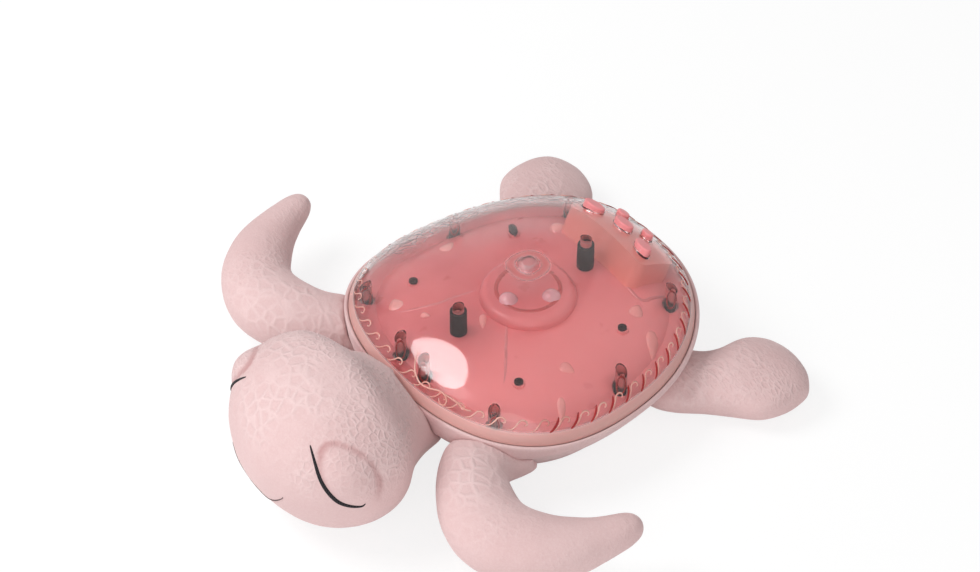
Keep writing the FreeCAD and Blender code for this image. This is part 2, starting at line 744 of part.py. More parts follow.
def base_shell():
    shape = tub_with_flange()
    inside = outline_prism(TUB_SCALE, 0.5 * TUB_WALL, TUB_BOTTOM, RIM_LOW - 2.0)
    bay = box(-BAY_HALF_X - BAY_WALL, BAY_CENTRE_Y - BAY_HALF_Y - BAY_WALL, TUB_BOTTOM,
              BAY_HALF_X + BAY_WALL, BAY_CENTRE_Y + BAY_HALF_Y + BAY_WALL, CEILING_TOP)
    ledge = door_plan(DOOR_RIM, TUB_BOTTOM, FLOOR_TOP + DOOR_LEDGE)
    shape = join([shape, bay, ledge, speaker_seat().common(inside)] + base_columns() + rim_bosses())
    for side in (-1.0, 1.0):
        x = side * DOOR_SCREW_X
        boss = cylinder(x, BAY_CENTRE_Y, FLOOR_TOP, 3.6, 8.5)
        shape = shape.fuse(boss)
        hole_r = SMALL_SCREW_R + 2.0 * THREAD_CLEARANCE
        shape = shape.cut(cylinder(x, BAY_CENTRE_Y, TUB_BOTTOM - 1.0, hole_r, DOOR_SCREW_LENGTH + 3.1))
        shape = shape.cut(cylinder(side * SPEAKER_SCREW_X, SPEAKER_Y, FLOOR_TOP - 1.0,
                                   SMALL_SCREW_R + THREAD_CLEARANCE, 6.0))
    bay_space = box(-BAY_HALF_X, BAY_CENTRE_Y - BAY_HALF_Y, TUB_BOTTOM - 1.0,
                    BAY_HALF_X, BAY_CENTRE_Y + BAY_HALF_Y, BAY_TOP)
    shape = shape.cut(bay_space).cut(door_plan(FIT, TUB_BOTTOM - 1.0, BAY_FLOOR + 0.1))
    for hole in grille_holes():
        shape = shape.cut(hole)
    for x, y in both_sides(RIM_POSTS):
        shape = shape.cut(cylinder(x, y, RIM_LOW - 20.0, SCREW_R + FIT, 60.0))
    return shape


def battery_door():
    plate = door_plan(0.0, TUB_BOTTOM, BAY_FLOOR)
    half_x = BAY_HALF_X - 3.0
    for side in (-1.0, 1.0):
        edge = BAY_CENTRE_Y + side * (BAY_HALF_Y - 0.3)
        rib = box(-half_x, min(edge, edge - side * 1.2), BAY_FLOOR - 0.1, half_x, max(edge, edge - side * 1.2),
                  BAY_FLOOR + DOOR_RIB)
        plate = plate.fuse(rib)
        x = side * DOOR_SCREW_X
        plate = plate.cut(cylinder(x, BAY_CENTRE_Y, TUB_BOTTOM - 1.0, SMALL_HEAD_R + FIT, SMALL_HEAD + 1.0))
        plate = plate.cut(cylinder(x, BAY_CENTRE_Y, TUB_BOTTOM, SMALL_SCREW_R + FIT, 4.0))
    for i in range(5):
        y = BAY_CENTRE_Y - 8.0 + 4.0 * i
        plate = plate.cut(box(-10.0, y - 0.7, TUB_BOTTOM - 1.0, 10.0, y + 0.7, TUB_BOTTOM + 0.6))
    return plate


def battery_door_screws():
    seat = TUB_BOTTOM + SMALL_HEAD
    screws = []
    for side in (-1.0, 1.0):
        screws.append(screw_up(side * DOOR_SCREW_X, BAY_CENTRE_Y, seat, SMALL_HEAD_R, SMALL_HEAD,
                               SMALL_SCREW_R, DOOR_SCREW_LENGTH))
    return group(screws)


def cell_side(index):
    """Each cell is turned the other way round from the one beside it."""
    return 1.0 if index % 2 == 0 else -1.0


def battery_cells():
    cells = []
    for i in range(CELL_COUNT):
        side = cell_side(i)
        tip = side * (BAY_HALF_X - CONTACT_THICK)
        axis = vec(-side, 0, 0)
        nub = Part.makeCylinder(2.75, 2.0, vec(tip, cell_y(i), CELL_Z), axis)
        can = Part.makeCylinder(CELL_R, CELL_LENGTH - 1.0, vec(tip - side, cell_y(i), CELL_Z), axis)
        cells.append(can.fuse(nub))
    return group(cells)


def battery_springs():
    """Bent strips that press on the flat end of each cell."""
    springs = []
    for i in range(CELL_COUNT):
        side = cell_side(i)
        foot = -side * (BAY_HALF_X - CONTACT_THICK)
        tip = foot + side * SPRING_SPACE
        near = tip - side * SPRING_THICK
        half = SPRING_HALF_HEIGHT
        outline = [vec(foot, 0, -half), vec(tip, 0, -0.3 * half), vec(tip, 0, 0.3 * half), vec(foot, 0, half),
                   vec(foot, 0, half - 2.0 * SPRING_THICK), vec(near, 0, 0.2 * half), vec(near, 0, -0.2 * half),
                   vec(foot, 0, 2.0 * SPRING_THICK - half)]
        strip_face = Part.Face(Part.makePolygon(outline + outline[:1]))
        spring = strip_face.extrude(vec(0, SPRING_WIDTH, 0))
        spring.translate(vec(0, cell_y(i) - SPRING_WIDTH / 2.0, CELL_Z))
        springs.append(spring)
    return group(springs)


def battery_contacts():
    """Plates at both ends: two bridge a pair of cells, two serve one cell."""
    plates = []
    for side, first, last in ((-1.0, 0, 1), (-1.0, 2, 2), (1.0, 0, 0), (1.0, 1, 2)):
        inner = side * (BAY_HALF_X - CONTACT_THICK)
        outer = side * BAY_HALF_X
        plates.append(box(min(inner, outer), cell_y(first) - 5.0, CELL_Z - 5.5,
                          max(inner, outer), cell_y(last) + 5.0, CELL_Z + 5.5))
    return group(plates)


# Drive geometry
PITCH_R = GEAR_MODULE * DISC_TEETH / 2.0
PINION_PITCH_R = GEAR_MODULE * PINION_TEETH / 2.0
MOTOR_Y = PITCH_R + PINION_PITCH_R
MAIN_BOARD_FRONT = MOTOR_Y + GEARBOX_Y / 2.0 + MAIN_BOARD_MOTOR_GAP
MAIN_BOARD_REAR = SHELL_REAR * TUB_SCALE - TUB_WALL - MAIN_BOARD_WALL_GAP
MAIN_BOARD_Y = MAIN_BOARD_REAR - MAIN_BOARD_FRONT
MAIN_BOARD_CENTRE_Y = (MAIN_BOARD_FRONT + MAIN_BOARD_REAR) / 2.0
BOARD_HOLE_Y = MAIN_BOARD_Y / 2.0 - BOARD_HOLE_EDGE
BOARD_HOLES = [(BOARD_HOLE_X, -BOARD_HOLE_Y), (BOARD_HOLE_X, BOARD_HOLE_Y)]
SOCKET_Y = MAIN_BOARD_Y / 2.0 - SOCKET_EDGE
DISC_TOP = DISC_BOTTOM + DISC_THICK
HUB_BOTTOM = DISC_BOTTOM - 1.0
HUB_TOP = HUB_BOTTOM + HUB_HEIGHT
CHASSIS_TOP = CHASSIS_BOTTOM + CHASSIS_THICK
BRACKET_HALF_X = 13.0
BRACKET_SCREW_X = 10.0
GEARBOX_BOTTOM = GEARBOX_TOP - GEARBOX_Z


def involute(base_r, radius):
    """Angle that an involute has turned through when it reaches a radius."""
    roll = math.sqrt(max((radius / base_r) ** 2 - 1.0, 0.0))
    return roll - math.atan(roll)


def gear_face(teeth, first_angle):
    """A spur gear's outline with one tooth centred on first_angle, in degrees."""
    pitch_r = GEAR_MODULE * teeth / 2.0
    base_r = pitch_r * math.cos(math.radians(PRESSURE_ANGLE))
    tip_r = pitch_r + GEAR_MODULE * 0.95
    root_r = pitch_r - GEAR_MODULE * 1.2
    half_pitch = math.pi / (2.0 * teeth) - BACKLASH / (2.0 * pitch_r)
    start_r = max(base_r, root_r)
    edges = []
    before = None
    first = None
    for i in range(teeth):
        middle = math.radians(first_angle) + 2.0 * math.pi * i / teeth
        flank = []
        for k in range(4):
            radius = start_r + (tip_r - start_r) * k / 3.0
            half = half_pitch + involute(base_r, pitch_r) - involute(base_r, radius)
            flank.append((radius, half))
        rising = [polar(radius, middle - half) for radius, half in flank]
        falling = [polar(radius, middle + half) for radius, half in reversed(flank)]
        low_rise = polar(root_r, middle - flank[0][1])
        low_fall = polar(root_r, middle + flank[0][1])
        if before is None:
            first = low_rise
        else:
            edges.append(root_arc(before, low_rise, root_r))
        if start_r > root_r + 0.001:
            edges.append(Part.makeLine(low_rise, rising[0]))
        edges.append(curve_through(rising))
        edges.append(Part.Arc(rising[-1], polar(tip_r, middle), falling[0]).toShape())
        edges.append(curve_through(falling))
        if start_r > root_r + 0.001:
            edges.append(Part.makeLine(falling[-1], low_fall))
        before = low_fall
    edges.append(root_arc(before, first, root_r))
    return Part.Face(Part.Wire(edges))


def polar(radius, angle):
    return vec(radius * math.cos(angle), radius * math.sin(angle), 0.0)


def curve_through(points):
    curve = Part.BSplineCurve()
    curve.interpolate(points)
    return curve.toShape()


def root_arc(start, end, radius):
    middle = (start + end).multiply(0.5)
    middle = middle.multiply(radius / middle.Length)
    return Part.Arc(start, middle, end).toShape()


def gear(teeth, first_angle, bottom, top):
    solid = gear_face(teeth, first_angle).extrude(vec(0, 0, top - bottom))
    solid.translate(vec(0, 0, bottom))
    return solid


def wave_disc():
    """Clear rippled disc with a gear rim and a hub that runs on the steel pin."""
    disc = gear(DISC_TEETH, 90.0 + 180.0 / DISC_TEETH, DISC_BOTTOM, DISC_TOP)
    for i in range(RIPPLE_COUNT):
        angle = 2.0 * math.pi * i / RIPPLE_COUNT
        along = vec(math.cos(angle), math.sin(angle), 0)
        ripple = Part.makeCylinder(1.5, 14.0, along * 7.0 + vec(0, 0, DISC_TOP - 1.0), along)
        disc = disc.fuse(ripple)
    disc = disc.fuse(cylinder(0, 0, HUB_BOTTOM, HUB_R, HUB_HEIGHT))
    return disc.cut(cylinder(0, 0, HUB_BOTTOM - 1.0, PIN_R + PIN_RUNNING, HUB_HEIGHT + 2.0))


def pinion():
    bottom = DISC_BOTTOM - PINION_OVERHANG
    wheel = gear(PINION_TEETH, -90.0, bottom, DISC_TOP + PINION_OVERHANG)
    wheel = wheel.cut(cylinder(0, 0, bottom - 1.0, SHAFT_R, 20.0))
    wheel.translate(vec(0, MOTOR_Y, 0))
    return wheel


def motor_shaft():
    bottom = GEARBOX_BOTTOM + 2.0
    return cylinder(0, MOTOR_Y, bottom, SHAFT_R, DISC_TOP + PINION_OVERHANG - bottom)


def motor_gearbox():
    body = box(-GEARBOX_X / 2.0, MOTOR_Y - GEARBOX_Y / 2.0, GEARBOX_BOTTOM,
               GEARBOX_X / 2.0, MOTOR_Y + GEARBOX_Y / 2.0, GEARBOX_TOP)
    for level in (3.0, 6.0):
        groove = box(-GEARBOX_X, MOTOR_Y - GEARBOX_Y, GEARBOX_BOTTOM + level, GEARBOX_X, MOTOR_Y + GEARBOX_Y,
                     GEARBOX_BOTTOM + level + 0.4)
        core = box(-GEARBOX_X / 2.0 + 0.4, MOTOR_Y - GEARBOX_Y / 2.0 + 0.4, GEARBOX_BOTTOM,
                   GEARBOX_X / 2.0 - 0.4, MOTOR_Y + GEARBOX_Y / 2.0 - 0.4, GEARBOX_TOP)
        body = body.cut(groove.cut(core))
    return body.cut(cylinder(0, MOTOR_Y, GEARBOX_BOTTOM + 1.9, SHAFT_R + PIN_RUNNING, GEARBOX_Z))


def motor_can():
    barrel = cylinder(0, MOTOR_Y, GEARBOX_BOTTOM - MOTOR_Z, GEARBOX_X / 2.0, MOTOR_Z)
    flats = box(-GEARBOX_X, MOTOR_Y - GEARBOX_Y / 2.0, 0, GEARBOX_X, MOTOR_Y + GEARBOX_Y / 2.0, GEARBOX_TOP)
    can = barrel.common(flats)
    return can.cut(cylinder(0, MOTOR_Y, GEARBOX_BOTTOM - MOTOR_Z - 1.0, 2.5, 1.6))


def motor_bracket():
    plate = box(-BRACKET_HALF_X, MOTOR_Y - 4.0, GEARBOX_TOP, BRACKET_HALF_X, MOTOR_Y + 4.0,
                GEARBOX_TOP + BRACKET_THICK)
    plate = plate.cut(cylinder(0, MOTOR_Y, GEARBOX_TOP - 1.0, 2.2, 4.0))
    for side in (-1.0, 1.0):
        x = side * BRACKET_SCREW_X
        plate = plate.cut(cylinder(x, MOTOR_Y, GEARBOX_TOP - 1.0, SMALL_SCREW_R + FIT, 4.0))
    return plate


def bracket_screws():
    seat = GEARBOX_TOP + BRACKET_THICK
    screws = []
    for side in (-1.0, 1.0):
        screws.append(screw_down(side * BRACKET_SCREW_X, MOTOR_Y, seat, SMALL_HEAD_R, SMALL_HEAD,
                                 SMALL_SCREW_R, 5.0))
    return group(screws)


def projector_chassis():
    """Plate over the battery bay that carries the lamp board, the disc's pin and the motor."""
    plate = box(-CHASSIS_HALF_X, CHASSIS_FRONT, CHASSIS_BOTTOM, CHASSIS_HALF_X, CHASSIS_REAR, CHASSIS_TOP)
    upright = [edge for edge in plate.Edges if edge.BoundBox.ZLength > 1.0]
    plate = plate.makeFillet(5.0, upright)
    plate = plate.cut(box(-GEARBOX_X / 2.0 - FIT, MOTOR_Y - GEARBOX_Y / 2.0 - FIT, CHASSIS_BOTTOM - 1.0,
                          GEARBOX_X / 2.0 + FIT, MOTOR_Y + GEARBOX_Y / 2.0 + FIT, CHASSIS_TOP + 1.0))
    boss_height = HUB_BOTTOM - 0.1 - CHASSIS_TOP
    plate = plate.fuse(cylinder(0, 0, CHASSIS_TOP - 0.5, 2.6, boss_height + 0.5))
    for side in (-1.0, 1.0):
        x = side * BRACKET_SCREW_X
        plate = plate.fuse(cylinder(x, MOTOR_Y, CHASSIS_TOP - 0.5, 2.3, GEARBOX_TOP - CHASSIS_TOP + 0.5))
        plate = plate.cut(cylinder(x, MOTOR_Y, GEARBOX_TOP - 4.4, SMALL_SCREW_R + THREAD_CLEARANCE, 6.0))
    for x, y in lamp_board_rests():
        plate = plate.fuse(cylinder(x, y, CHASSIS_TOP - 0.5, 1.8, LAMP_BOARD_BOTTOM - CHASSIS_TOP + 0.5))
    for x, y in both_sides(LEG_PLACES):
        plate = plate.cut(cylinder(x, y, CHASSIS_BOTTOM - 1.0, SMALL_SCREW_R + FIT, 6.0))
    return plate.cut(cylinder(0, 0, CHASSIS_BOTTOM + 0.5, PIN_R, 30.0))


def lamp_board_rests():
    rests = []
    for i in range(3):
        angle = math.radians(90.0 + 120.0 * i)
        rests.append((14.5 * math.cos(angle), 14.5 * math.sin(angle)))
    return rests


def chassis_screws():
    length = CHASSIS_TOP - CEILING_TOP - CHASSIS_SCREW_END
    screws = []
    for x, y in both_sides(LEG_PLACES):
        screws.append(screw_down(x, y, CHASSIS_TOP, SMALL_HEAD_R, SMALL_HEAD, SMALL_SCREW_R, length))
    return group(screws)


def disc_pin():
    return cylinder(0, 0, CHASSIS_BOTTOM + 0.5, PIN_R, HUB_TOP + 1.6 - CHASSIS_BOTTOM - 0.5)


def disc_retainer():
    washer = cylinder(0, 0, HUB_TOP + 0.1, 3.4, 0.8)
    return washer.cut(cylinder(0, 0, HUB_TOP, PIN_R, 2.0))


def lamp_places():
    places = []
    for i in range(LAMP_COUNT):
        angle = math.radians(-90.0 + 360.0 * i / LAMP_COUNT)
        places.append((LAMP_CIRCLE_R * math.cos(angle), LAMP_CIRCLE_R * math.sin(angle)))
    return places


def lamp_board():
    board = cylinder(0, 0, LAMP_BOARD_BOTTOM, LAMP_BOARD_R, BOARD_THICK)
    return board.cut(cylinder(0, 0, LAMP_BOARD_BOTTOM - 1.0, 2.6 + FIT, 4.0))


def lamps():
    """Clear lamps with a flange and a round end."""
    base = LAMP_BOARD_BOTTOM + BOARD_THICK
    shapes = []
    for x, y in lamp_places():
        lamp = cylinder(x, y, base, LAMP_FLANGE_R, 1.0)
        lamp = lamp.fuse(cylinder(x, y, base, LAMP_R, LAMP_HEIGHT - LAMP_R))
        lamp = lamp.fuse(Part.makeSphere(LAMP_R, vec(x, y, base + LAMP_HEIGHT - LAMP_R)))
        shapes.append(lamp)
    return group(shapes)


def projector_cap():
    """Round cap over the tray's window, with a ring that centres it and an opening over each lamp."""
    cap = cylinder(0, 0, RIM_LOW + 8.0, CAP_R, CAP_TOP - RIM_LOW - 8.0)
    cap = cap.makeFillet(CAP_ROUND, level_edges(cap, CAP_TOP))
    hollow = cylinder(0, 0, RIM_LOW, CAP_R - CAP_WALL, CAP_TOP - RIM_LOW - CAP_WALL)
    hollow = hollow.makeFillet(CAP_ROUND - CAP_WALL, level_edges(hollow, CAP_TOP - CAP_WALL))
    cap = cap.cut(hollow).cut(tray_solid(0.0))
    ring_bottom = RIM_LOW + TRAY_RISE - TRAY_WALL
    ring = cylinder(0, 0, ring_bottom, TRAY_WINDOW_R - FIT, CAP_TOP - ring_bottom - 1.0)
    ring = ring.cut(cylinder(0, 0, ring_bottom - 1.0, TRAY_WINDOW_R - FIT - CAP_RING_WALL, 20.0))
    cap = cap.fuse(ring)
    for x, y in lamp_places():
        cap = cap.cut(cylinder(x, y, RIM_LOW, LENS_R - 1.2, 40.0))
    return cap


def projector_lenses():
    lenses = []
    for x, y in lamp_places():
        ball_r = (LENS_R ** 2 + LENS_HEIGHT ** 2) / (2.0 * LENS_HEIGHT)
        ball = Part.makeSphere(ball_r, vec(x, y, CAP_TOP + LENS_HEIGHT - ball_r))
        lens = ball.common(cylinder(x, y, CAP_TOP, LENS_R, 20.0))
        lenses.append(lens.fuse(cylinder(x, y, CAP_TOP - 1.5, LENS_R - 1.2 - 0.05, 2.0)))
    return group(lenses)


def turned(profile, x, y, z):
    """A ring turned from a profile of radius and height points."""
    points = [vec(r, 0, h) for r, h in profile]
    wire = Part.makePolygon(points + points[:1])
    solid = Part.Face(wire).revolve(vec(0, 0, 0), vec(0, 0, 1), 360.0)
    solid.translate(vec(x, y, z))
    return solid


def speaker_frame():
    r = SPEAKER_R
    neck = 0.53 * r
    top = MAGNET_BOTTOM
    profile = [(r, 0), (r, SPEAKER_FLANGE), (r - 2.0, SPEAKER_FLANGE), (neck, top), (0, top), (0, top - 0.8),
               (neck - 0.5, top - 0.8), (r - SPEAKER_EDGE, 0.6), (r - SPEAKER_EDGE, 0)]
    return turned(profile, 0, SPEAKER_Y, FLOOR_TOP)


def speaker_cone():
    r = SPEAKER_R - SPEAKER_EDGE
    profile = [(r, 0.1), (r, 0.5), (r - 0.6, 0.7), (4.0, 3.8), (0, 3.8), (0, 3.4), (3.8, 3.4), (r - 0.8, 0.3)]
    return turned(profile, 0, SPEAKER_Y, FLOOR_TOP)


def speaker_magnet():
    bottom = FLOOR_TOP + MAGNET_BOTTOM
    magnet = cylinder(0, SPEAKER_Y, bottom, SPEAKER_R * MAGNET_SHARE, MAGNET_HEIGHT)
    return magnet.fuse(cylinder(0, SPEAKER_Y, bottom, SPEAKER_R * MAGNET_SHARE - 1.4, MAGNET_HEIGHT + 0.8))


def speaker_screws():
    screws = []
    for side in (-1.0, 1.0):
        screws.append(screw_down(side * SPEAKER_SCREW_X, SPEAKER_Y, FLOOR_TOP + SPEAKER_FLANGE,
                                 SMALL_HEAD_R, SMALL_HEAD, SMALL_SCREW_R, 2.0))
    return group(screws)


def main_board():
    bottom = FLOOR_TOP + STANDOFF
    board = box(-MAIN_BOARD_X / 2.0, MAIN_BOARD_FRONT, bottom,
                MAIN_BOARD_X / 2.0, MAIN_BOARD_REAR, bottom + BOARD_THICK)
    for x, y in both_sides(BOARD_HOLES):
        board = board.cut(cylinder(x, MAIN_BOARD_CENTRE_Y + y, bottom - 1.0, SMALL_SCREW_R + FIT, 4.0))
    return board


def board_components():
    """The sound chip, the driver chip, two capacitors and three sockets for leads."""
    top = BOARD_TOP
    y = MAIN_BOARD_CENTRE_Y
    pieces = [box(-8.0, y - 5.0, top, 4.0, y + 3.0, top + 1.8)]
    pieces.append(box(9.0, y - 3.0, top, 15.0, y + 3.0, top + 1.5))
    for x in (-18.0, -12.5):
        pieces.append(cylinder(x, y - 5.0, top, 2.5, 7.0))
    for x in (-SOCKET_PITCH, 0.0, SOCKET_PITCH):
        pieces.append(box(x - 3.5, y + SOCKET_Y - 2.0, top, x + 3.5, y + SOCKET_Y + 2.0, top + SOCKET_HEIGHT))
    return group(pieces)


def board_screws():
    screws = []
    for x, y in both_sides(BOARD_HOLES):
        screws.append(screw_down(x, MAIN_BOARD_CENTRE_Y + y, BOARD_TOP, SMALL_HEAD_R, SMALL_HEAD,
                                 SMALL_SCREW_R, 5.5))
    return group(screws)


def lead(points, bend):
    """A round lead along straight runs joined by arcs of one bend radius."""
    edges = []
    start = points[0]
    for i in range(1, len(points) - 1):
        corner = points[i]
        back = (points[i - 1] - corner).normalize()
        ahead = (points[i + 1] - corner).normalize()
        half = back.getAngle(ahead) / 2.0
        reach = bend / math.tan(half)
        enter = corner + back * reach
        leave = corner + ahead * reach
        centre = corner + (back + ahead).normalize() * (bend / math.sin(half))
        middle = centre + (corner - centre).normalize() * bend
        edges.append(Part.makeLine(start, enter))
        edges.append(Part.Arc(enter, middle, leave).toShape())
        start = leave
    edges.append(Part.makeLine(start, points[-1]))
    ring = Part.Wire(Part.makeCircle(LEAD_R, points[0], points[1] - points[0]))
    return Part.Wire(edges).makePipeShell([ring], True, False)


def leads():
    """Leads from the main board's sockets to the motor, the keypad, the lamps and the speaker."""
    socket_y = MAIN_BOARD_CENTRE_Y + SOCKET_Y
    low = BOARD_TOP + SOCKET_HEIGHT
    x = -SOCKET_PITCH
    motor_run = [vec(x, socket_y, low), vec(x, socket_y, low + 6.0), vec(x, MOTOR_Y, low + 6.0),
                 vec(-GEARBOX_X / 2.0, MOTOR_Y, low + 6.0)]
    board_end = keypad_place().multVec(vec(0.0, -4.0, BUTTON_BOARD_BOTTOM))
    normal = keypad_place().Rotation.multVec(vec(0, 0, 1))
    corner = board_end - normal * ((board_end.y - socket_y) / normal.y)
    keypad_run = [vec(0.0, socket_y, low), corner, board_end]
    x = SOCKET_PITCH - 2.5
    level = LAMP_BOARD_BOTTOM + BOARD_THICK
    lamp_run = [vec(x, socket_y, low), vec(x, socket_y, low + 5.0), vec(22.0, 40.0, level + 4.0),
                vec(9.0, 13.0, level + 4.0), vec(9.0, 13.0, level)]
    x = SOCKET_PITCH + 2.0
    side_x = DOOR_SCREW_X + 5.0
    level = FLOOR_TOP + MAGNET_BOTTOM + 2.0
    speaker_run = [vec(x, socket_y, low), vec(x, socket_y, low + 4.0), vec(side_x, 36.0, low + 4.0),
                   vec(side_x, -36.0, level), vec(SPEAKER_R + 10.0, SPEAKER_Y, level),
                   vec(SPEAKER_R * MAGNET_SHARE, SPEAKER_Y, level)]
    return group([lead(run, LEAD_BEND) for run in (motor_run, keypad_run, lamp_run, speaker_run)])


@functools.lru_cache(maxsize=None)
def body_form():
    """The stuffed body's outer form, carried on straight up past the rim."""
    shoulder = outline_wire(1.0, -BODY_LIP, BODY_SHOULDER)
    wires = [outline_wire(scale, 0.0, z) for scale, z in BODY_SECTIONS] + [shoulder]
    rim = Part.Face(shoulder).extrude(vec(0.0, 0.0, BODY_TOP - BODY_SHOULDER))
    return Part.makeLoft(wires, True, False).fuse(rim)


def body_pocket():
    """Room in the body for the shell's edge, the flange, its screws and the tub."""
    top = RIM_LOW + 30.0
    flange_low = -SEAM_GAP - FLANGE_THICK - PLUSH_GAP
    edge = outline_prism(1.0, -PLUSH_GAP, RIM_LOW - 20.0, top).common(above_rim(flange_low))
    screws = outline_prism(POCKET_SCALE, 0.0, RIM_LOW - 20.0, top).common(above_rim(-POCKET_DEPTH))
    tub = outline_prism(TUB_SCALE, -PLUSH_GAP, TUB_BOTTOM - PLUSH_GAP, top)
    panel = outline_prism(PANEL_SCALE, -PLUSH_GAP, -1.0, TUB_BOTTOM)
    return join([edge, screws, tub, panel])


def plush_body():
    return body_form().cut(above_rim(-PLUSH_GAP)).cut(body_pocket())


def belly_panel():
    """Padded belly with an opening under the battery door and a tongue for the loop strip."""
    panel = outline_prism(PANEL_SCALE, -PLUSH_GAP + 0.1, 0.0, BELLY_THICK)
    half = BELLY_OPENING_X / 2.0
    panel = panel.cut(box(-half, BELLY_OPENING_FRONT, -1.0, half, BELLY_OPENING_REAR, BELLY_THICK + 1.0))
    low = FLAP_LIFT + FLAP_THICK + 2.0 * STRIP_THICK
    tongue = box(-STRIP_LENGTH / 2.0, BELLY_OPENING_REAR - TONGUE_REACH, low, STRIP_LENGTH / 2.0,
                 BELLY_OPENING_REAR + 0.5, low + TONGUE_THICK)
    return panel.fuse(tongue)


def belly_flap():
    gap = 0.5
    half = BELLY_OPENING_X / 2.0 - gap
    flap = box(-half, BELLY_OPENING_FRONT + gap, FLAP_LIFT, half, BELLY_OPENING_REAR - gap,
               FLAP_LIFT + FLAP_THICK)
    corners = [edge for edge in flap.Edges if edge.BoundBox.ZLength > 1.0 and edge.BoundBox.YMin > 0.0]
    return flap.makeFillet(8.0, corners)


def strip(level):
    rear = BELLY_OPENING_REAR - 1.2
    half = STRIP_LENGTH / 2.0 - 2.0
    return box(-half, rear - STRIP_WIDTH, level, half, rear, level + STRIP_THICK)


def hook_strip():
    return strip(FLAP_LIFT + FLAP_THICK)


def loop_strip():
    return strip(FLAP_LIFT + FLAP_THICK + STRIP_THICK)


def oval_wire(centre, side, up, half_side, half_up):
    """A closed oval of four arcs, each under half a circle, across the directions side and up."""
    wide = max(half_side, half_up)
    tall = min(half_side, half_up)
    if wide - tall < 0.02 * wide:
        corner_a = half_side * math.sqrt(0.5)
        corner_b = half_up * math.sqrt(0.5)
    else:
        end_r = tall * tall / wide * 1.12 if tall * 1.12 < wide else (tall * tall / wide + tall) / 2.0
        side_r = ((wide - end_r) ** 2 + tall ** 2 - end_r ** 2) / (2.0 * (tall - end_r))
        run = vec(wide - end_r, side_r - tall, 0)
        run = run.normalize().multiply(side_r)
        corner_a = run.x
        corner_b = run.y - (side_r - tall)
        if half_up > half_side:
            corner_a, corner_b = corner_b, corner_a

    def place(a, b):
        return centre + side * a + up * b

    arcs = [Part.Arc(place(corner_a, -corner_b), place(half_side, 0), place(corner_a, corner_b))]
    arcs.append(Part.Arc(place(corner_a, corner_b), place(0, half_up), place(-corner_a, corner_b)))
    arcs.append(Part.Arc(place(-corner_a, corner_b), place(-half_side, 0), place(-corner_a, -corner_b)))
    arcs.append(Part.Arc(place(-corner_a, -corner_b), place(0, -half_up), place(corner_a, -corner_b)))
    return Part.Wire([arc.toShape() for arc in arcs])


def table_slab():
    return box(-300.0, -300.0, -100.0, 300.0, 300.0, 0.0)


@functools.lru_cache(maxsize=None)
def head_form():
    """The head swells from the nose and narrows to the neck, which meets the body."""
    wires = []
    for share in (-0.995, -0.96, -0.88, -0.74, -0.52, -0.25, 0.05, 0.33):
        size = math.sqrt(1.0 - share * share)
        centre = vec(HEAD_X, HEAD_Y + share * HEAD_HALF_Y, HEAD_Z)
        wires.append(oval_wire(centre, vec(1, 0, 0), vec(0, 0, 1), HEAD_HALF_X * size, HEAD_HALF_Z * size))
    for y, x, z, half_x, half_z in NECK:
        wires.append(oval_wire(vec(x, y, z), vec(1, 0, 0), vec(0, 0, 1), half_x, half_z))
    return Part.makeLoft(wires, True, False).cut(table_slab())


def limb(stations, mirror):
    """A stuffed limb lofted through oval sections across the line of its stations."""
    centres = [vec(mirror * x, y, z) for x, y, z, half_width, half_thick in stations]
    wires = []
    for i, (x, y, z, half_width, half_thick) in enumerate(stations):
        ahead = centres[min(i + 1, len(centres) - 1)]
        behind = centres[max(i - 1, 0)]
        along = (ahead - behind).normalize()
        side = along.cross(vec(0, 0, 1)).normalize() * mirror
        up = side.cross(along).normalize() * mirror
        wires.append(oval_wire(centres[i], side, up, half_width, half_thick))
    return Part.makeLoft(wires, True, False).cut(table_slab())


def surface_of_head(offset):
    """The point of the head's skin in the direction of an offset from its centre."""
    x, y, z = offset
    size = math.sqrt((x / HEAD_HALF_X) ** 2 + (y / HEAD_HALF_Y) ** 2 + (z / HEAD_HALF_Z) ** 2)
    return vec(HEAD_X + x / size, HEAD_Y + y / size, HEAD_Z + z / size)


def mirrored_offset(offset, side):
    return (offset[0] * side, offset[1], offset[2])


def eyelid(side, head):
    """A spindle sunk in the head so that its upper part swells behind the eye line."""
    x, y, z = mirrored_offset(EYELID_PLACE, side)
    skin = surface_of_head((x, y, z))
    outward = vec(x / HEAD_HALF_X ** 2, y / HEAD_HALF_Y ** 2, z / HEAD_HALF_Z ** 2).normalize()
    arc = Part.Arc(vec(0, 0, -EYELID_HALF_LENGTH), vec(EYELID_R, 0, 0), vec(0, 0, EYELID_HALF_LENGTH))
    axis = Part.makeLine(vec(0, 0, EYELID_HALF_LENGTH), vec(0, 0, -EYELID_HALF_LENGTH))
    spindle = Part.Face(Part.Wire([arc.toShape(), axis])).revolve(vec(0, 0, 0), vec(0, 0, 1), 360.0)
    turn = FreeCAD.Rotation(vec(0, 0, 1), vec(*mirrored_offset(EYELID_ALONG, side)))
    spindle.Placement = FreeCAD.Placement(skin - outward * (EYELID_R - EYELID_PROUD), turn)
    return spindle.cut(head)


def thread(offsets, radius):
    """A stitched line half sunk in the head's skin through three places."""
    centre = vec(HEAD_X, HEAD_Y, HEAD_Z)
    points = []
    for offset in offsets:
        skin = surface_of_head(offset)
        points.append(skin + (skin - centre).normalize() * (0.6 * radius))
    arc = Part.Arc(points[0], points[1], points[2])
    path = Part.Wire(arc.toShape())
    ring = Part.Wire(Part.makeCircle(radius, points[0], arc.tangent(arc.FirstParameter)[0]))
    return path.makePipeShell([ring], True, True)


def eye_stitching(head):
    lines = []
    for side in (-1.0, 1.0):
        line = thread([mirrored_offset(offset, side) for offset in EYE_LINE], EYE_THREAD_R)
        lines.append(line.cut(head).cut(eyelid(side, head)))
    return lines


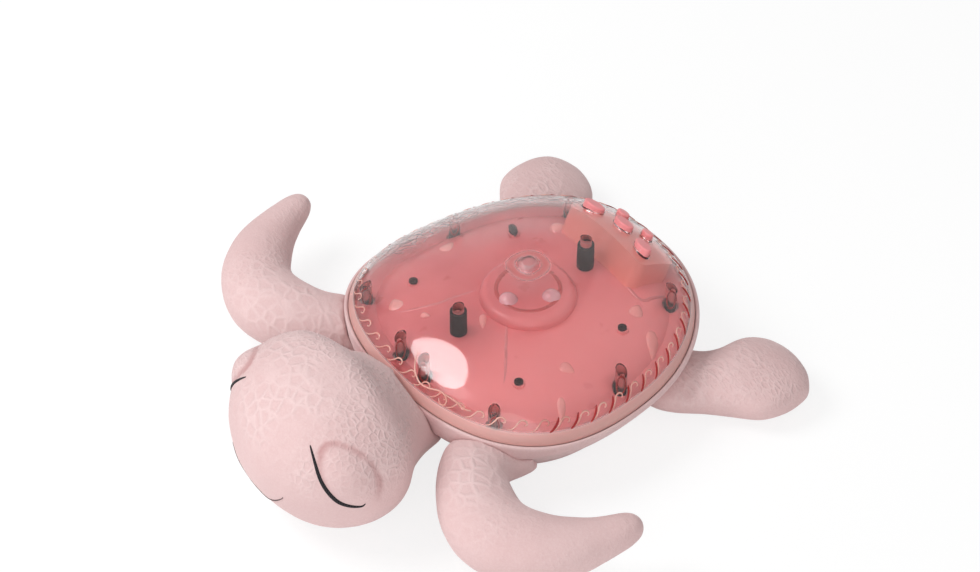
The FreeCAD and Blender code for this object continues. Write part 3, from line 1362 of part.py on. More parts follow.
def soft_parts():
    """Body, head, limbs and face: each is cut by the larger pieces that it is sewn to."""
    body = plush_body()
    form = body_form()
    head_filled = head_form()
    head = largest(head_filled.cut(form))
    pieces = {"plush_body": body, "plush_head": head}
    for name, stations in (("front_flipper", FRONT_FLIPPER), ("rear_flipper", REAR_FLIPPER)):
        for side, word in ((1.0, "left"), (-1.0, "right")):
            flipper = limb(stations, side).cut(form).cut(head_filled)
            pieces[name + "_" + word] = largest(flipper)
    for side, word in ((1.0, "left"), (-1.0, "right")):
        pieces["eyelid_" + word] = largest(eyelid(side, head))
    pieces["eye_stitching"] = group([largest(line) for line in eye_stitching(head)])
    pieces["mouth_stitching"] = largest(thread(MOUTH_LINE, MOUTH_THREAD_R).cut(head))
    return pieces


def make_all():
    parts.update(soft_parts())
    parts["belly_panel"] = belly_panel()
    parts["belly_flap"] = belly_flap()
    parts["hook_strip"] = hook_strip()
    parts["loop_strip"] = loop_strip()
    parts["shell_dome"] = shell_dome()
    parts["dome_screws"] = dome_screws()
    parts["post_sleeves"] = post_sleeves()
    parts["reflector_tray"] = reflector_tray()
    parts["tray_screws"] = tray_screws()
    parts["projector_cap"] = projector_cap()
    parts["projector_lenses"] = projector_lenses()
    parts["wave_disc"] = wave_disc()
    parts["pinion"] = pinion()
    parts["motor_shaft"] = motor_shaft()
    parts["motor_gearbox"] = motor_gearbox()
    parts["motor_can"] = motor_can()
    parts["motor_bracket"] = motor_bracket()
    parts["bracket_screws"] = bracket_screws()
    parts["projector_chassis"] = projector_chassis()
    parts["chassis_screws"] = chassis_screws()
    parts["disc_pin"] = disc_pin()
    parts["disc_retainer"] = disc_retainer()
    parts["lamp_board"] = lamp_board()
    parts["lamps"] = lamps()
    parts["base_shell"] = base_shell()
    parts["battery_door"] = battery_door()
    parts["battery_door_screws"] = battery_door_screws()
    parts["battery_cells"] = battery_cells()
    parts["battery_springs"] = battery_springs()
    parts["battery_contacts"] = battery_contacts()
    parts["speaker_frame"] = speaker_frame()
    parts["speaker_cone"] = speaker_cone()
    parts["speaker_magnet"] = speaker_magnet()
    parts["speaker_screws"] = speaker_screws()
    parts["main_board"] = main_board()
    parts["board_components"] = board_components()
    parts["board_screws"] = board_screws()
    parts["leads"] = leads()
    parts["keypad_housing"] = keypad_housing()
    parts["rubber_keypad"] = rubber_keypad()
    parts["button_board"] = button_board()
    parts["keypad_screws"] = keypad_screws()
    for name in BUTTONS:
        parts[name] = button(name)


def shift_to_middle():
    """How far the whole toy is moved along Y to bring its middle over the origin."""
    nose = parts["plush_head"].optimalBoundingBox(False, False).YMin
    tail = parts["rear_flipper_left"].optimalBoundingBox(False, False).YMax
    return vec(0, -0.5 * (nose + tail), 0)


def save_all():
    os.makedirs("parts", exist_ok=True)
    shift = shift_to_middle()
    print("moved along Y by", round(shift.y, 4))
    for name, shape in parts.items():
        shape.translate(shift)
        shape.exportStep("parts/" + name + ".step")
        print(name, len(shape.Solids), "solids", round(shape.Volume / 1000.0, 2), "cm3", shape.isValid())


make_all()
save_all()
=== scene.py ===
import bisect
import bmesh
import bpy
import math
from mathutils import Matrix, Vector, noise
from mathutils.bvhtree import BVHTree


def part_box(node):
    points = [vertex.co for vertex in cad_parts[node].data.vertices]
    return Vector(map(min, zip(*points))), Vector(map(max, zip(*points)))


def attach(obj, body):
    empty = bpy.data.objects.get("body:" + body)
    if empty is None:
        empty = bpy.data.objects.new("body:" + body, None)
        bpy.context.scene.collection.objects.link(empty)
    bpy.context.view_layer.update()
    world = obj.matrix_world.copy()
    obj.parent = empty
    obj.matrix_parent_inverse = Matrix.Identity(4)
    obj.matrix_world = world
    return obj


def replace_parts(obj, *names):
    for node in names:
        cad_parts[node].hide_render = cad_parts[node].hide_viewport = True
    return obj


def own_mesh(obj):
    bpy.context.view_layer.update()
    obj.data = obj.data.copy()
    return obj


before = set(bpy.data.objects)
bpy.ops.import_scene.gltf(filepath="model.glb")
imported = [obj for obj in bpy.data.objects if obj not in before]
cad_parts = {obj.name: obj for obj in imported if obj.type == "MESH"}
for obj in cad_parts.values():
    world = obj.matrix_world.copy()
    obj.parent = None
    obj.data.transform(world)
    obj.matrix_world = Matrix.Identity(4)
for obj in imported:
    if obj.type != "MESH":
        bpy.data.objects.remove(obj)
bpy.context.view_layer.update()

# Sizes in metres that the looks share with the CAD part: the shell's plan, saddle, dome, tray, and the head
SHELL_Y = 0.0377308
FRONT, REAR, HALF_WIDTH = 0.0956, 0.0938, 0.0932
EXPONENT, TAPER = 2.35, 1.05
RIM_LOW, RIM_CURVE = 0.0393, 0.490
DOME_RISE, DOME_POWER, DOME_WALL = 0.0447, 0.66, 0.0022
PANEL_SCALE = 0.70
TRAY_SCALE, TRAY_RISE, TRAY_EXPONENT, TRAY_POWER, TRAY_EDGE = 0.86, 0.0162, 5.0, 0.9, 0.002
CAP_TOP = 0.0620
HEAD = Vector((0.0089, -0.1458 + SHELL_Y, 0.0482))
ROOT = "turtle"

# The photograph's viewpoint
CAMERA_AZIMUTH, CAMERA_ELEVATION, CAMERA_DISTANCE = math.radians(53.3), math.radians(43.9), 1.4035
CAMERA_TARGET = Vector((-0.00262, -0.0249 + SHELL_Y, 0.0769))
PHOTO_WIDTH, FOCAL_PIXELS, SENSOR_WIDTH = 980.0, 2519.0, 36.0

# Colours, linear
FABRIC_SHADE = (0.70, 0.475, 0.468, 1)
FABRIC_CELL = (0.745, 0.525, 0.518, 1)
FABRIC_LINE = (0.86, 0.67, 0.66, 1)
FABRIC_TIP = (0.93, 0.79, 0.78, 1)
FABRIC_SHEEN = (1.0, 0.86, 0.86, 1)
# Painted shade, dark red, for the folds at the eyelids and between head and body
FABRIC_FOLD_SHADE = (0.40, 0.14, 0.14, 1)
RIM_FLESH = (0.86, 0.50, 0.46, 1)
POST_TINT = (0.84, 0.27, 0.26, 1)
POST_FOOT = (0.075, 0.035, 0.030, 1)

# The velour's embossed net: the width of its lines and its finer size as shares of a cell, how strongly the
# lines show, their height, and how far they wander
NET_LINE, NET_FINE, NET_SHOW, NET_HEIGHT, NET_WANDER = 0.26, 0.55, 0.42, 0.0011, 0.0045

# Where the dome's material changes: shares of the way to the rim, depths under its face, and places
VEINS_START, VEINS_STOP = (0.62, 0.80), (0.93, 0.96)
VEINS_X, VEINS_Y = (-0.060, -0.015), (SHELL_Y - 0.060, SHELL_Y - 0.030)
RIM_BAND = (0.958, 0.980)
POST_REACH, POST_DEPTH, POST_LOW = (0.90, 0.93), (0.0034, 0.0042), (0.0095, 0.0125)
FROSTED_SPOT = (0.045, 0.085)
VEIN_SCALE, VEIN_WIDTH, VEIN_HEIGHT = 170.0, 0.11, 0.0004


# Form helpers
def saddle(y):
    """The height of the shell's rim, which rises towards the head and the tail."""
    return RIM_LOW + RIM_CURVE - math.sqrt(RIM_CURVE ** 2 - y ** 2)


def outline(angle, scale, inset=0.0):
    """A plan point of the shell's outline, about the shell's own middle."""
    power = 2.0 / EXPONENT
    c, s = math.cos(angle), math.sin(angle)
    length = REAR if s > 0 else FRONT
    reach = math.copysign(abs(s) ** power, s)
    half = HALF_WIDTH * (1.0 - TAPER * reach * length) * scale - inset
    return math.copysign(abs(c) ** power, c) * half, reach * (length * scale - inset)


def shell_scale(x, y):
    """How far out a plan point lies, 0 at the shell's middle and 1 on its outline."""
    length = REAR if y > 0 else FRONT
    half = HALF_WIDTH * (1.0 - TAPER * y)
    return ((abs(y) / length) ** EXPONENT + (abs(x) / half) ** EXPONENT) ** (1.0 / EXPONENT)


def dome_z(x, y, inset=0.0):
    """The height of the dome's outer face, or of a face inset under it."""
    scale = min(shell_scale(x, y), 1.0)
    return saddle(y) + (DOME_RISE - inset) * (1.0 - scale * scale) ** DOME_POWER


def tray_z(x, y):
    """The height of the reflector tray's upper face."""
    scale = shell_scale(x, y)
    edge = saddle(y) + TRAY_EDGE
    if scale >= TRAY_SCALE:
        return edge
    return max(edge, saddle(y) + TRAY_RISE * (1.0 - (scale / TRAY_SCALE) ** TRAY_EXPONENT) ** TRAY_POWER)


def surface_normal(height, x, y, step=0.0004):
    """The normal of a height field, from its slopes over a short step."""
    dx = (height(x + step, y) - height(x - step, y)) / (2 * step)
    dy = (height(x, y + step) - height(x, y - step)) / (2 * step)
    return Vector((-dx, -dy, 1.0)).normalized()


def link_object(name, data):
    obj = bpy.data.objects.new(name, data)
    bpy.context.scene.collection.objects.link(obj)
    return obj


def make_object(name, verts, faces, material, smooth=True):
    """A piece on the turtle's fixed body."""
    mesh = bpy.data.meshes.new(name)
    mesh.from_pydata([tuple(v) for v in verts], [], faces)
    mesh.validate()
    mesh.update()
    obj = link_object(name, mesh)
    if smooth:
        mesh.polygons.foreach_set("use_smooth", [True] * len(mesh.polygons))
    mesh.materials.append(material)
    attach(obj, ROOT)
    return obj


def circle_angles(count):
    return [2 * math.pi * k / count for k in range(count)]


def rings_mesh(rings, close_start=True, close_end=True):
    """Vertices and faces of a skin through rings of equal count."""
    count = len(rings[0])
    verts = [p for ring in rings for p in ring]
    faces = []
    for k in range(len(rings) - 1):
        for i in range(count):
            j = (i + 1) % count
            faces.append((k * count + i, k * count + j, (k + 1) * count + j, (k + 1) * count + i))
    if close_start:
        faces.append(tuple(range(count))[::-1])
    if close_end:
        faces.append(tuple((len(rings) - 1) * count + i for i in range(count)))
    return verts, faces


def tube(points, radii, normals=None, flat=1.0, sides=10):
    """Rings of an oval tube along points. flat squeezes it along the surface normals."""
    rings = []
    for i, p in enumerate(points):
        ahead = (points[min(i + 1, len(points) - 1)] - points[max(i - 1, 0)]).normalized()
        up = normals[i] if normals else Vector((0, 0, 1))
        side = ahead.cross(up).normalized()
        up = side.cross(ahead).normalized()
        rings.append([p + side * (radii[i] * math.cos(a)) + up * (radii[i] * flat * math.sin(a))
                      for a in circle_angles(sides)])
    return rings_mesh(rings)


def merge(parts):
    """Joins several (verts, faces) into one."""
    verts, faces = [], []
    for v, f in parts:
        start = len(verts)
        verts += v
        faces += [tuple(start + i for i in face) for face in f]
    return verts, faces


def spline(points, steps):
    """Smooth points through the given ones."""
    out = []
    for i in range(len(points) - 1):
        p0 = points[max(i - 1, 0)]
        p1, p2 = points[i], points[i + 1]
        p3 = points[min(i + 2, len(points) - 1)]
        for k in range(steps):
            t = k / steps
            out.append(0.5 * ((2 * p1) + (p2 - p0) * t + (2 * p0 - 5 * p1 + 4 * p2 - p3) * t * t
                              + (3 * p1 - p0 - 3 * p2 + p3) * t * t * t))
    out.append(points[-1].copy())
    return out


# Materials
class Shader:
    """A short way to build node materials."""

    def __init__(self, name):
        self.material = bpy.data.materials.new(name)
        self.material.use_nodes = True
        self.tree = self.material.node_tree
        self.main = self.tree.nodes["Principled BSDF"]

    def node(self, kind, inputs=None, **settings):
        node = self.tree.nodes.new("ShaderNode" + kind)
        for key, value in settings.items():
            setattr(node, key, value)
        for key, value in (inputs or {}).items():
            if isinstance(value, bpy.types.NodeSocket):
                self.tree.links.new(value, node.inputs[key])
            else:
                node.inputs[key].default_value = value
        return node

    def set(self, **values):
        for key, value in values.items():
            socket = self.main.inputs[key.replace("_", " ")]
            if isinstance(value, bpy.types.NodeSocket):
                self.tree.links.new(value, socket)
            else:
                socket.default_value = value

    def place(self):
        return self.node("TexCoord").outputs["Object"]

    def noise(self, scale, detail=2.0, vector=None, roughness=0.5):
        inputs = {"Scale": scale, "Detail": detail, "Roughness": roughness, "Vector": vector or self.place()}
        return self.node("TexNoise", inputs)

    def ramp(self, value, low, high, to_low=0.0, to_high=1.0):
        node = self.node("MapRange", {"Value": value, "From Min": low, "From Max": high,
                                      "To Min": to_low, "To Max": to_high}, interpolation_type="SMOOTHSTEP")
        return node.outputs["Result"]

    def math(self, operation, a, b):
        return self.node("Math", {0: a, 1: b}, operation=operation).outputs[0]

    def mix(self, factor, a, b):
        node = self.node("Mix", data_type="RGBA")
        for index, value in ((0, factor), (6, a), (7, b)):
            if isinstance(value, bpy.types.NodeSocket):
                self.tree.links.new(value, node.inputs[index])
            else:
                node.inputs[index].default_value = value
        return node.outputs[2]

    def shell_reach(self):
        """How far out a place lies in the shell's plan, 0 at its middle and 1 at its rim."""
        axes = self.node("SeparateXYZ", {"Vector": self.place()}).outputs
        y = self.math("SUBTRACT", axes["Y"], SHELL_Y)
        half = self.math("MULTIPLY", self.math("SUBTRACT", 1.0, self.math("MULTIPLY", y, TAPER)), HALF_WIDTH)
        ahead = self.math("MAXIMUM", self.math("DIVIDE", y, REAR), self.math("DIVIDE", y, -FRONT))
        across = self.math("ABSOLUTE", self.math("DIVIDE", axes["X"], half), 0.0)
        total = self.math("ADD", self.math("POWER", ahead, EXPONENT), self.math("POWER", across, EXPONENT))
        return self.math("POWER", total, 1.0 / EXPONENT)

    def dome_depth(self, reach, axes):
        """How far a place lies under the dome's outer face."""
        y = self.math("SUBTRACT", axes["Y"], SHELL_Y)
        rim = self.math("ADD", self.math("DIVIDE", self.math("MULTIPLY", y, y), 2.0 * RIM_CURVE), RIM_LOW)
        inner = self.math("MAXIMUM", self.math("SUBTRACT", 1.0, self.math("MULTIPLY", reach, reach)), 0.0)
        rise = self.math("MULTIPLY", self.math("POWER", inner, DOME_POWER), DOME_RISE)
        return self.math("SUBTRACT", self.math("ADD", rim, rise), axes["Z"])

    def bump(self, height, strength, distance, before=None):
        inputs = {"Height": height, "Strength": strength, "Distance": distance}
        if before is not None:
            inputs["Normal"] = before
        return self.node("Bump", inputs).outputs["Normal"]


def velour(name, cell, stretch, seed):
    """Short pile with an embossed net of scales.

    Three mesh attributes steer it: scales says where the net shows, fine where it is finer, and the third
    where painted shade darkens a fold.
    """
    s = Shader(name)
    place = s.node("Mapping", {"Vector": s.place(), "Scale": stretch, "Location": (seed,) * 3}).outputs[0]
    warp = s.noise(70.0, 2.0, place).outputs["Color"]
    shift = s.node("VectorMath", {0: warp, 1: (0.5, 0.5, 0.5)}, operation="SUBTRACT").outputs[0]
    shift = s.node("VectorMath", {0: shift, "Scale": NET_WANDER}, operation="SCALE").outputs[0]
    warped = s.node("VectorMath", {0: place, 1: shift}, operation="ADD").outputs[0]
    nets = []
    for size in (cell, cell * NET_FINE):
        cells = s.node("TexVoronoi", {"Vector": warped, "Scale": 1.0 / size, "Randomness": 0.8},
                       feature="DISTANCE_TO_EDGE")
        nets.append(s.ramp(cells.outputs["Distance"], 0.0, NET_LINE, 1.0, 0.0))
    fine = s.node("Attribute", attribute_name="fine").outputs["Fac"]
    line = s.node("Mix", {0: fine, 2: nets[0], 3: nets[1]}).outputs[0]
    shown = s.node("Attribute", attribute_name="scales").outputs["Fac"]
    fade = s.ramp(s.noise(38.0, 2.0).outputs["Fac"], 0.36, 0.64, 0.25, 1.0)
    net = s.math("MULTIPLY", s.math("MULTIPLY", line, shown), fade)
    broad = s.noise(16.0, 3.0).outputs["Fac"]
    pile = s.noise(900.0, 3.0, roughness=0.7).outputs["Fac"]
    tone = s.mix(s.ramp(broad, 0.3, 0.7), FABRIC_SHADE, FABRIC_CELL)
    colour = s.mix(s.math("MULTIPLY", net, NET_SHOW), tone, FABRIC_LINE)
    colour = s.mix(s.ramp(pile, 0.35, 0.75, 0.0, 0.16), colour, FABRIC_TIP)
    fold_shade = s.node("Attribute", attribute_name="fold_shade").outputs["Fac"]
    # Painted shade darkens the folds
    colour = s.mix(s.math("MULTIPLY", fold_shade, 0.55), colour, FABRIC_FOLD_SHADE)
    normal = s.bump(pile, 0.35, 0.0006)
    normal = s.bump(s.noise(160.0, 2.0).outputs["Fac"], 0.2, 0.001, normal)
    normal = s.bump(net, 0.45, NET_HEIGHT, normal)
    s.set(Base_Color=colour, Normal=normal, Roughness=0.92, Specular_IOR_Level=0.15)
    s.set(Sheen_Weight=0.35, Sheen_Roughness=0.45, Sheen_Tint=FABRIC_SHEEN)
    return s.material


def plastic(name, colour, dark, rough=0.35, grain=700.0, coat=0.0, scatter=0.0, shine=0.5, near=None):
    """Moulded plastic with a faint grain and uneven tone. near is its colour on the turtle's left side, a
    painted light that makes that side lighter.
    """
    s = Shader(name)
    tone = s.mix(s.ramp(s.noise(25.0, 3.0).outputs["Fac"], 0.35, 0.65), dark, colour)
    if near:
        # Painted light: the tone turns lighter towards the turtle's left side
        across = s.node("SeparateXYZ", {"Vector": s.place()}).outputs["X"]
        tone = s.mix(s.ramp(across, -0.010, 0.055), tone, near)
    s.set(Base_Color=tone, Normal=s.bump(s.noise(grain, 2.0).outputs["Fac"], 0.06, 0.0003))
    s.set(Roughness=s.ramp(s.noise(60.0, 3.0).outputs["Fac"], 0.3, 0.7, rough * 0.85, rough * 1.2))
    s.set(Specular_IOR_Level=shine, Coat_Weight=coat)
    if scatter:
        s.set(Subsurface_Weight=scatter, Subsurface_Radius=(0.004, 0.0015, 0.0012))
    return s.material


def metal(name, colour, rough=0.3):
    """Metal with a fine grain and darker patches."""
    s = Shader(name)
    patch = tuple(0.6 * c for c in colour[:3]) + (1,)
    s.set(Base_Color=s.mix(s.ramp(s.noise(80.0, 3.0).outputs["Fac"], 0.35, 0.7, 0.0, 0.5), colour, patch))
    s.set(Normal=s.bump(s.noise(1500.0, 2.0).outputs["Fac"], 0.08, 0.0002), Metallic=1.0, Roughness=rough)
    return s.material


def thread_material(name, colour, light):
    """Satin stitches side by side."""
    s = Shader(name)
    stitches = s.node("TexWave", {"Vector": s.place(), "Scale": 420.0, "Distortion": 1.5, "Detail": 1.0})
    s.set(Base_Color=s.mix(s.ramp(stitches.outputs["Fac"], 0.2, 0.9), colour, light))
    s.set(Normal=s.bump(stitches.outputs["Fac"], 0.5, 0.0003), Roughness=0.6, Specular_IOR_Level=0.15)
    return s.material


def clear_plastic(name, colour, rough, ior):
    """A shader of clear tinted plastic."""
    s = Shader(name)
    s.set(Base_Color=colour, Roughness=rough, IOR=ior, Transmission_Weight=1.0)
    return s


def dome_material(name, colour, rough, ior):
    """The shell's plastic: fleshy rim, tinted posts, frosted spot at the top and a band of embossed veins."""
    s = clear_plastic(name, colour, rough, ior)
    reach = s.shell_reach()
    axes = s.node("SeparateXYZ", {"Vector": s.place()}).outputs
    depth = s.dome_depth(reach, axes)
    rim = s.ramp(reach, *RIM_BAND)
    post = s.math("MULTIPLY", s.ramp(depth, *POST_DEPTH), s.ramp(reach, *POST_REACH, 1.0, 0.0))
    post_colour = s.mix(s.ramp(depth, *POST_LOW), POST_TINT, POST_FOOT)
    s.set(Base_Color=s.mix(post, s.mix(rim, colour, RIM_FLESH), post_colour))
    clear_share = s.math("SUBTRACT", s.ramp(rim, 0.0, 1.0, 1.0, 0.30), s.math("MULTIPLY", post, 0.75))
    frosted = s.math("MAXIMUM", s.math("MULTIPLY", post, 0.5), s.ramp(reach, *FROSTED_SPOT, 0.4, 0.0))
    s.set(Transmission_Weight=clear_share,
          Roughness=s.math("MAXIMUM", s.ramp(rim, 0.0, 1.0, rough, 0.35), frosted))
    band = s.math("MULTIPLY", s.ramp(reach, *VEINS_START), s.ramp(reach, *VEINS_STOP, 1.0, 0.0))
    band = s.math("MULTIPLY", band, s.ramp(axes["X"], *VEINS_X, 1.0, 0.1))
    band = s.math("MULTIPLY", band, s.ramp(axes["Y"], *VEINS_Y))
    warp = s.noise(60.0, 2.0).outputs["Color"]
    warp = s.node("VectorMath", {0: warp, "Scale": 0.012}, operation="SCALE").outputs[0]
    place = s.node("VectorMath", {0: s.place(), 1: warp}, operation="ADD").outputs[0]
    cells = s.node("TexVoronoi", {"Vector": place, "Scale": VEIN_SCALE, "Randomness": 1.0},
                   feature="DISTANCE_TO_EDGE")
    line = s.ramp(cells.outputs["Distance"], 0.0, VEIN_WIDTH, 1.0, 0.0)
    normal = s.bump(s.math("MULTIPLY", line, band), 0.30, VEIN_HEIGHT)
    s.set(Normal=s.bump(s.noise(26.0, 2.0).outputs["Fac"], 0.07, 0.002, normal))
    return s.material


head_fabric = velour("velour_head", 0.0070, (1.0, 1.0, 0.85), 0.3)
front_fabric = velour("velour_front_flipper", 0.0085, (1.0, 1.25, 1.0), 0.7)
rear_fabric = velour("velour_rear_flipper", 0.0068, (0.8, 1.3, 0.8), 1.1)
body_fabric = velour("velour_body", 0.0095, (1.0, 1.0, 0.8), 1.9)
plain_fabric = velour("velour_plain", 0.009, (1.0, 1.0, 1.0), 2.3)
black_stitch = thread_material("black_stitch", (0.012, 0.010, 0.012, 1), (0.035, 0.03, 0.035, 1))
grey_stitch = thread_material("grey_stitch", (0.09, 0.05, 0.052, 1), (0.17, 0.11, 0.115, 1))
tape_fabric = thread_material("tape_fabric", (0.60, 0.42, 0.42, 1), (0.75, 0.58, 0.57, 1))
dome_clear = dome_material("dome_clear", (0.985, 0.88, 0.885, 1), 0.05, 1.45)
# The wave border's curls are moulded relief; their light tan is a painted highlight of the clear plastic
border_highlight_tan = plastic("border_highlight_tan", (0.84, 0.46, 0.38, 1), (0.70, 0.30, 0.25, 1), 0.3, coat=0.4, scatter=0.3)
# Red of the border strokes, a painted reflection
border_reflection_red = plastic("border_reflection_red", (0.42, 0.030, 0.030, 1), (0.32, 0.020, 0.020, 1), 0.4, shine=0.2)
# Red of the post loops, a painted reflection
post_reflection_red = plastic("post_reflection_red", (0.46, 0.035, 0.025, 1), (0.36, 0.022, 0.018, 1), 0.4, shine=0.2)
lens_clear = clear_plastic("lens_clear", (0.97, 0.95, 0.96, 1), 0.03, 1.52).material
lens_milky = plastic("lens_milky", (0.86, 0.52, 0.55, 1), (0.80, 0.45, 0.49, 1), 0.12, coat=0.8, scatter=0.4)
# The tray is painted lighter on the turtle's left side, as painted light
coral = plastic("coral_tray", (0.82, 0.235, 0.24, 1), (0.74, 0.19, 0.20, 1), 0.32, coat=0.3, scatter=0.1,
                near=(0.98, 0.33, 0.33, 1))
coral_deep = plastic("coral_deep", (0.62, 0.10, 0.09, 1), (0.54, 0.08, 0.075, 1), 0.3, coat=0.4)
coral_ridge = plastic("coral_ridge", (0.80, 0.30, 0.30, 1), (0.74, 0.25, 0.25, 1), 0.3, coat=0.4, scatter=0.1)
coral_light = plastic("coral_keypad", (0.99, 0.35, 0.29, 1), (0.95, 0.30, 0.25, 1),
                      0.35, coat=0.3, scatter=0.15)
coral_drop = plastic("coral_drop", (0.98, 0.50, 0.46, 1), (0.96, 0.40, 0.37, 1), 0.3, coat=0.4, scatter=0.15)
coral_button = plastic("coral_button", (0.88, 0.30, 0.31, 1), (0.82, 0.24, 0.26, 1),
                       0.38, coat=0.2, scatter=0.2)
black_plastic = plastic("black_plastic", (0.02, 0.010, 0.010, 1), (0.01, 0.005, 0.005, 1), 0.5, shine=0.15)
white_plastic = plastic("white_plastic", (0.78, 0.77, 0.75, 1), (0.70, 0.69, 0.67, 1), 0.4)
base_plastic = plastic("base_plastic", (0.86, 0.58, 0.56, 1), (0.81, 0.52, 0.51, 1), 0.42)
board_green = plastic("board_green", (0.03, 0.16, 0.06, 1), (0.02, 0.11, 0.04, 1), 0.35, coat=0.4)
cell_wrap = plastic("cell_wrap", (0.05, 0.055, 0.07, 1), (0.035, 0.04, 0.05, 1), 0.25, coat=0.5)
red_wire = plastic("red_wire", (0.45, 0.02, 0.015, 1), (0.36, 0.015, 0.012, 1), 0.5)
rubber_grey = plastic("rubber_grey", (0.55, 0.54, 0.53, 1), (0.48, 0.47, 0.46, 1), 0.7)
paper_black = plastic("paper_black", (0.02, 0.02, 0.02, 1), (0.012, 0.012, 0.012, 1), 0.85, 300.0)
steel = metal("steel", (0.55, 0.55, 0.56, 1))
dark_steel = metal("dark_steel", (0.07, 0.045, 0.045, 1), 0.4)
dark_screw = plastic("dark_screw", (0.050, 0.018, 0.016, 1), (0.03, 0.010, 0.009, 1), 0.5, shine=0.15)


# CAD nodes that stay
NODE_MATERIALS = {
    "dome_screws": dark_screw, "post_sleeves": black_plastic, "reflector_tray": coral,
    "tray_screws": dark_screw, "projector_cap": coral, "projector_lenses": lens_milky,
    "wave_disc": lens_clear, "pinion": white_plastic, "motor_shaft": steel, "motor_gearbox": white_plastic,
    "motor_can": steel, "motor_bracket": steel, "bracket_screws": steel, "projector_chassis": white_plastic,
    "chassis_screws": steel, "disc_pin": steel, "disc_retainer": steel, "lamp_board": board_green,
    "lamps": lens_clear, "base_shell": base_plastic, "battery_door": base_plastic,
    "battery_door_screws": steel, "battery_cells": cell_wrap, "battery_springs": steel,
    "battery_contacts": steel, "speaker_frame": dark_steel, "speaker_cone": paper_black,
    "speaker_magnet": steel, "speaker_screws": steel, "main_board": board_green,
    "board_components": black_plastic, "board_screws": steel, "leads": red_wire,
    "keypad_housing": coral_light, "rubber_keypad": rubber_grey, "button_board": board_green,
    "keypad_screws": steel, "button_light": coral_button, "button_wave": coral_button,
    "button_sound": coral_button, "button_volume_down": coral_button, "button_volume_up": coral_button,
    "shell_dome": dome_clear,
}
for node_name, material in NODE_MATERIALS.items():
    node_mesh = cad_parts[node_name].data
    node_mesh.materials.clear()
    node_mesh.materials.append(material)


# Soft pieces. Skin this near the table stays on it, and lumps in the stuffing stand this high
TABLE_CONTACT, LUMP_HEIGHT = 0.0004, 0.0009
CLOTH_FRAMES, CLOTH_PRESSURE = 20, 4.0


def joined_nodes(node_names):
    """One bmesh of several CAD nodes."""
    joined = bmesh.new()
    for node_name in node_names:
        joined.from_mesh(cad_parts[node_name].data)
    return joined


def fill_out(obj, cap, held):
    """Blows the skin of a stuffed piece up as cloth. No point moves further than cap, and held ones stay."""
    rest = [v.co.copy() for v in obj.data.vertices]
    pins = obj.vertex_groups.new(name="held")
    for vert in obj.data.vertices:
        pins.add([vert.index], 1.0 if held(vert.co) else 0.0, "REPLACE")
    cloth = obj.modifiers.new("cloth", "CLOTH")
    cloth.settings.quality = 4
    cloth.settings.mass = 0.3
    cloth.settings.tension_stiffness = 12
    cloth.settings.compression_stiffness = 12
    cloth.settings.shear_stiffness = 4
    cloth.settings.bending_stiffness = 0.4
    cloth.settings.use_pressure = True
    cloth.settings.uniform_pressure_force = CLOTH_PRESSURE
    cloth.settings.vertex_group_mass = "held"
    cloth.settings.effector_weights.gravity = 0
    cloth.collision_settings.use_collision = False
    cloth.collision_settings.use_self_collision = False
    cloth.point_cache.frame_start = 1
    cloth.point_cache.frame_end = CLOTH_FRAMES
    scene = bpy.context.scene
    for frame_number in range(1, CLOTH_FRAMES + 1):
        scene.frame_set(frame_number)
    blown = obj.evaluated_get(bpy.context.evaluated_depsgraph_get())
    places = [v.co.copy() for v in blown.to_mesh().vertices]
    blown.to_mesh_clear()
    obj.modifiers.clear()
    obj.vertex_groups.clear()
    scene.frame_set(1)
    for vert, before, after in zip(obj.data.vertices, rest, places):
        move = after - before
        if move.length > cap:
            move *= cap / move.length
        vert.co = before + move
        vert.co.z = max(vert.co.z, 0.0)


def soft_copy(name, nodes, voxel, rounds, swell, material, body=ROOT):
    """A remeshed and softened copy of CAD solids, swollen back by what the softening took."""
    joined = joined_nodes(nodes)
    bmesh.ops.remove_doubles(joined, verts=joined.verts, dist=1e-6)
    mesh = bpy.data.meshes.new(name)
    joined.to_mesh(mesh)
    joined.free()
    obj = link_object(name, mesh)
    remesh = obj.modifiers.new("remesh", "REMESH")
    remesh.mode = "VOXEL"
    remesh.voxel_size = voxel
    evaluated = obj.evaluated_get(bpy.context.evaluated_depsgraph_get())
    fine = bpy.data.meshes.new_from_object(evaluated)
    obj.modifiers.clear()
    obj.data = fine
    shape = bmesh.new()
    shape.from_mesh(fine)
    for _ in range(rounds):
        bmesh.ops.smooth_vert(shape, verts=shape.verts, factor=0.5,
                              use_axis_x=True, use_axis_y=True, use_axis_z=True)
    shape.normal_update()
    for vert in shape.verts:
        lump = noise.noise(vert.co * 45.0) * 0.5 + noise.noise(vert.co * 110.0 + Vector((3, 1, 2))) * 0.25
        vert.co += vert.normal * (swell + LUMP_HEIGHT * lump)
        vert.co.z = max(vert.co.z, 0.0)
    shape.to_mesh(fine)
    shape.free()
    fine.polygons.foreach_set("use_smooth", [True] * len(fine.polygons))
    fine.materials.clear()
    fine.materials.append(material)
    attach(obj, body)
    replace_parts(obj, *nodes)
    return obj


def paint(obj, name, value):
    """Stores a number at each vertex for a material to read."""
    attribute = obj.data.attributes.new(name, "FLOAT", "POINT")
    attribute.data.foreach_set("value", [value(v.co, v.normal) for v in obj.data.vertices])


def subdivide(obj):
    obj.modifiers.new("subdivision", "SUBSURF").render_levels = 1


def step(value, low, high):
    """0 below low, 1 above high, and smooth between."""
    t = min(max((value - low) / (high - low), 0.0), 1.0)
    return t * t * (3 - 2 * t)


# Behind or inside of these, the skins are held at their seams
HEAD_SEAM_Y, FRONT_SEAM_X, REAR_SEAM_X = -0.060, 0.060, 0.070
# How near both skins have to be for a fold between them to get painted shade, and how far off that painted
# shade ends
CREASE_REACH, CREASE_FROM, CREASE_TO = 0.006, 0.0007, 0.0021

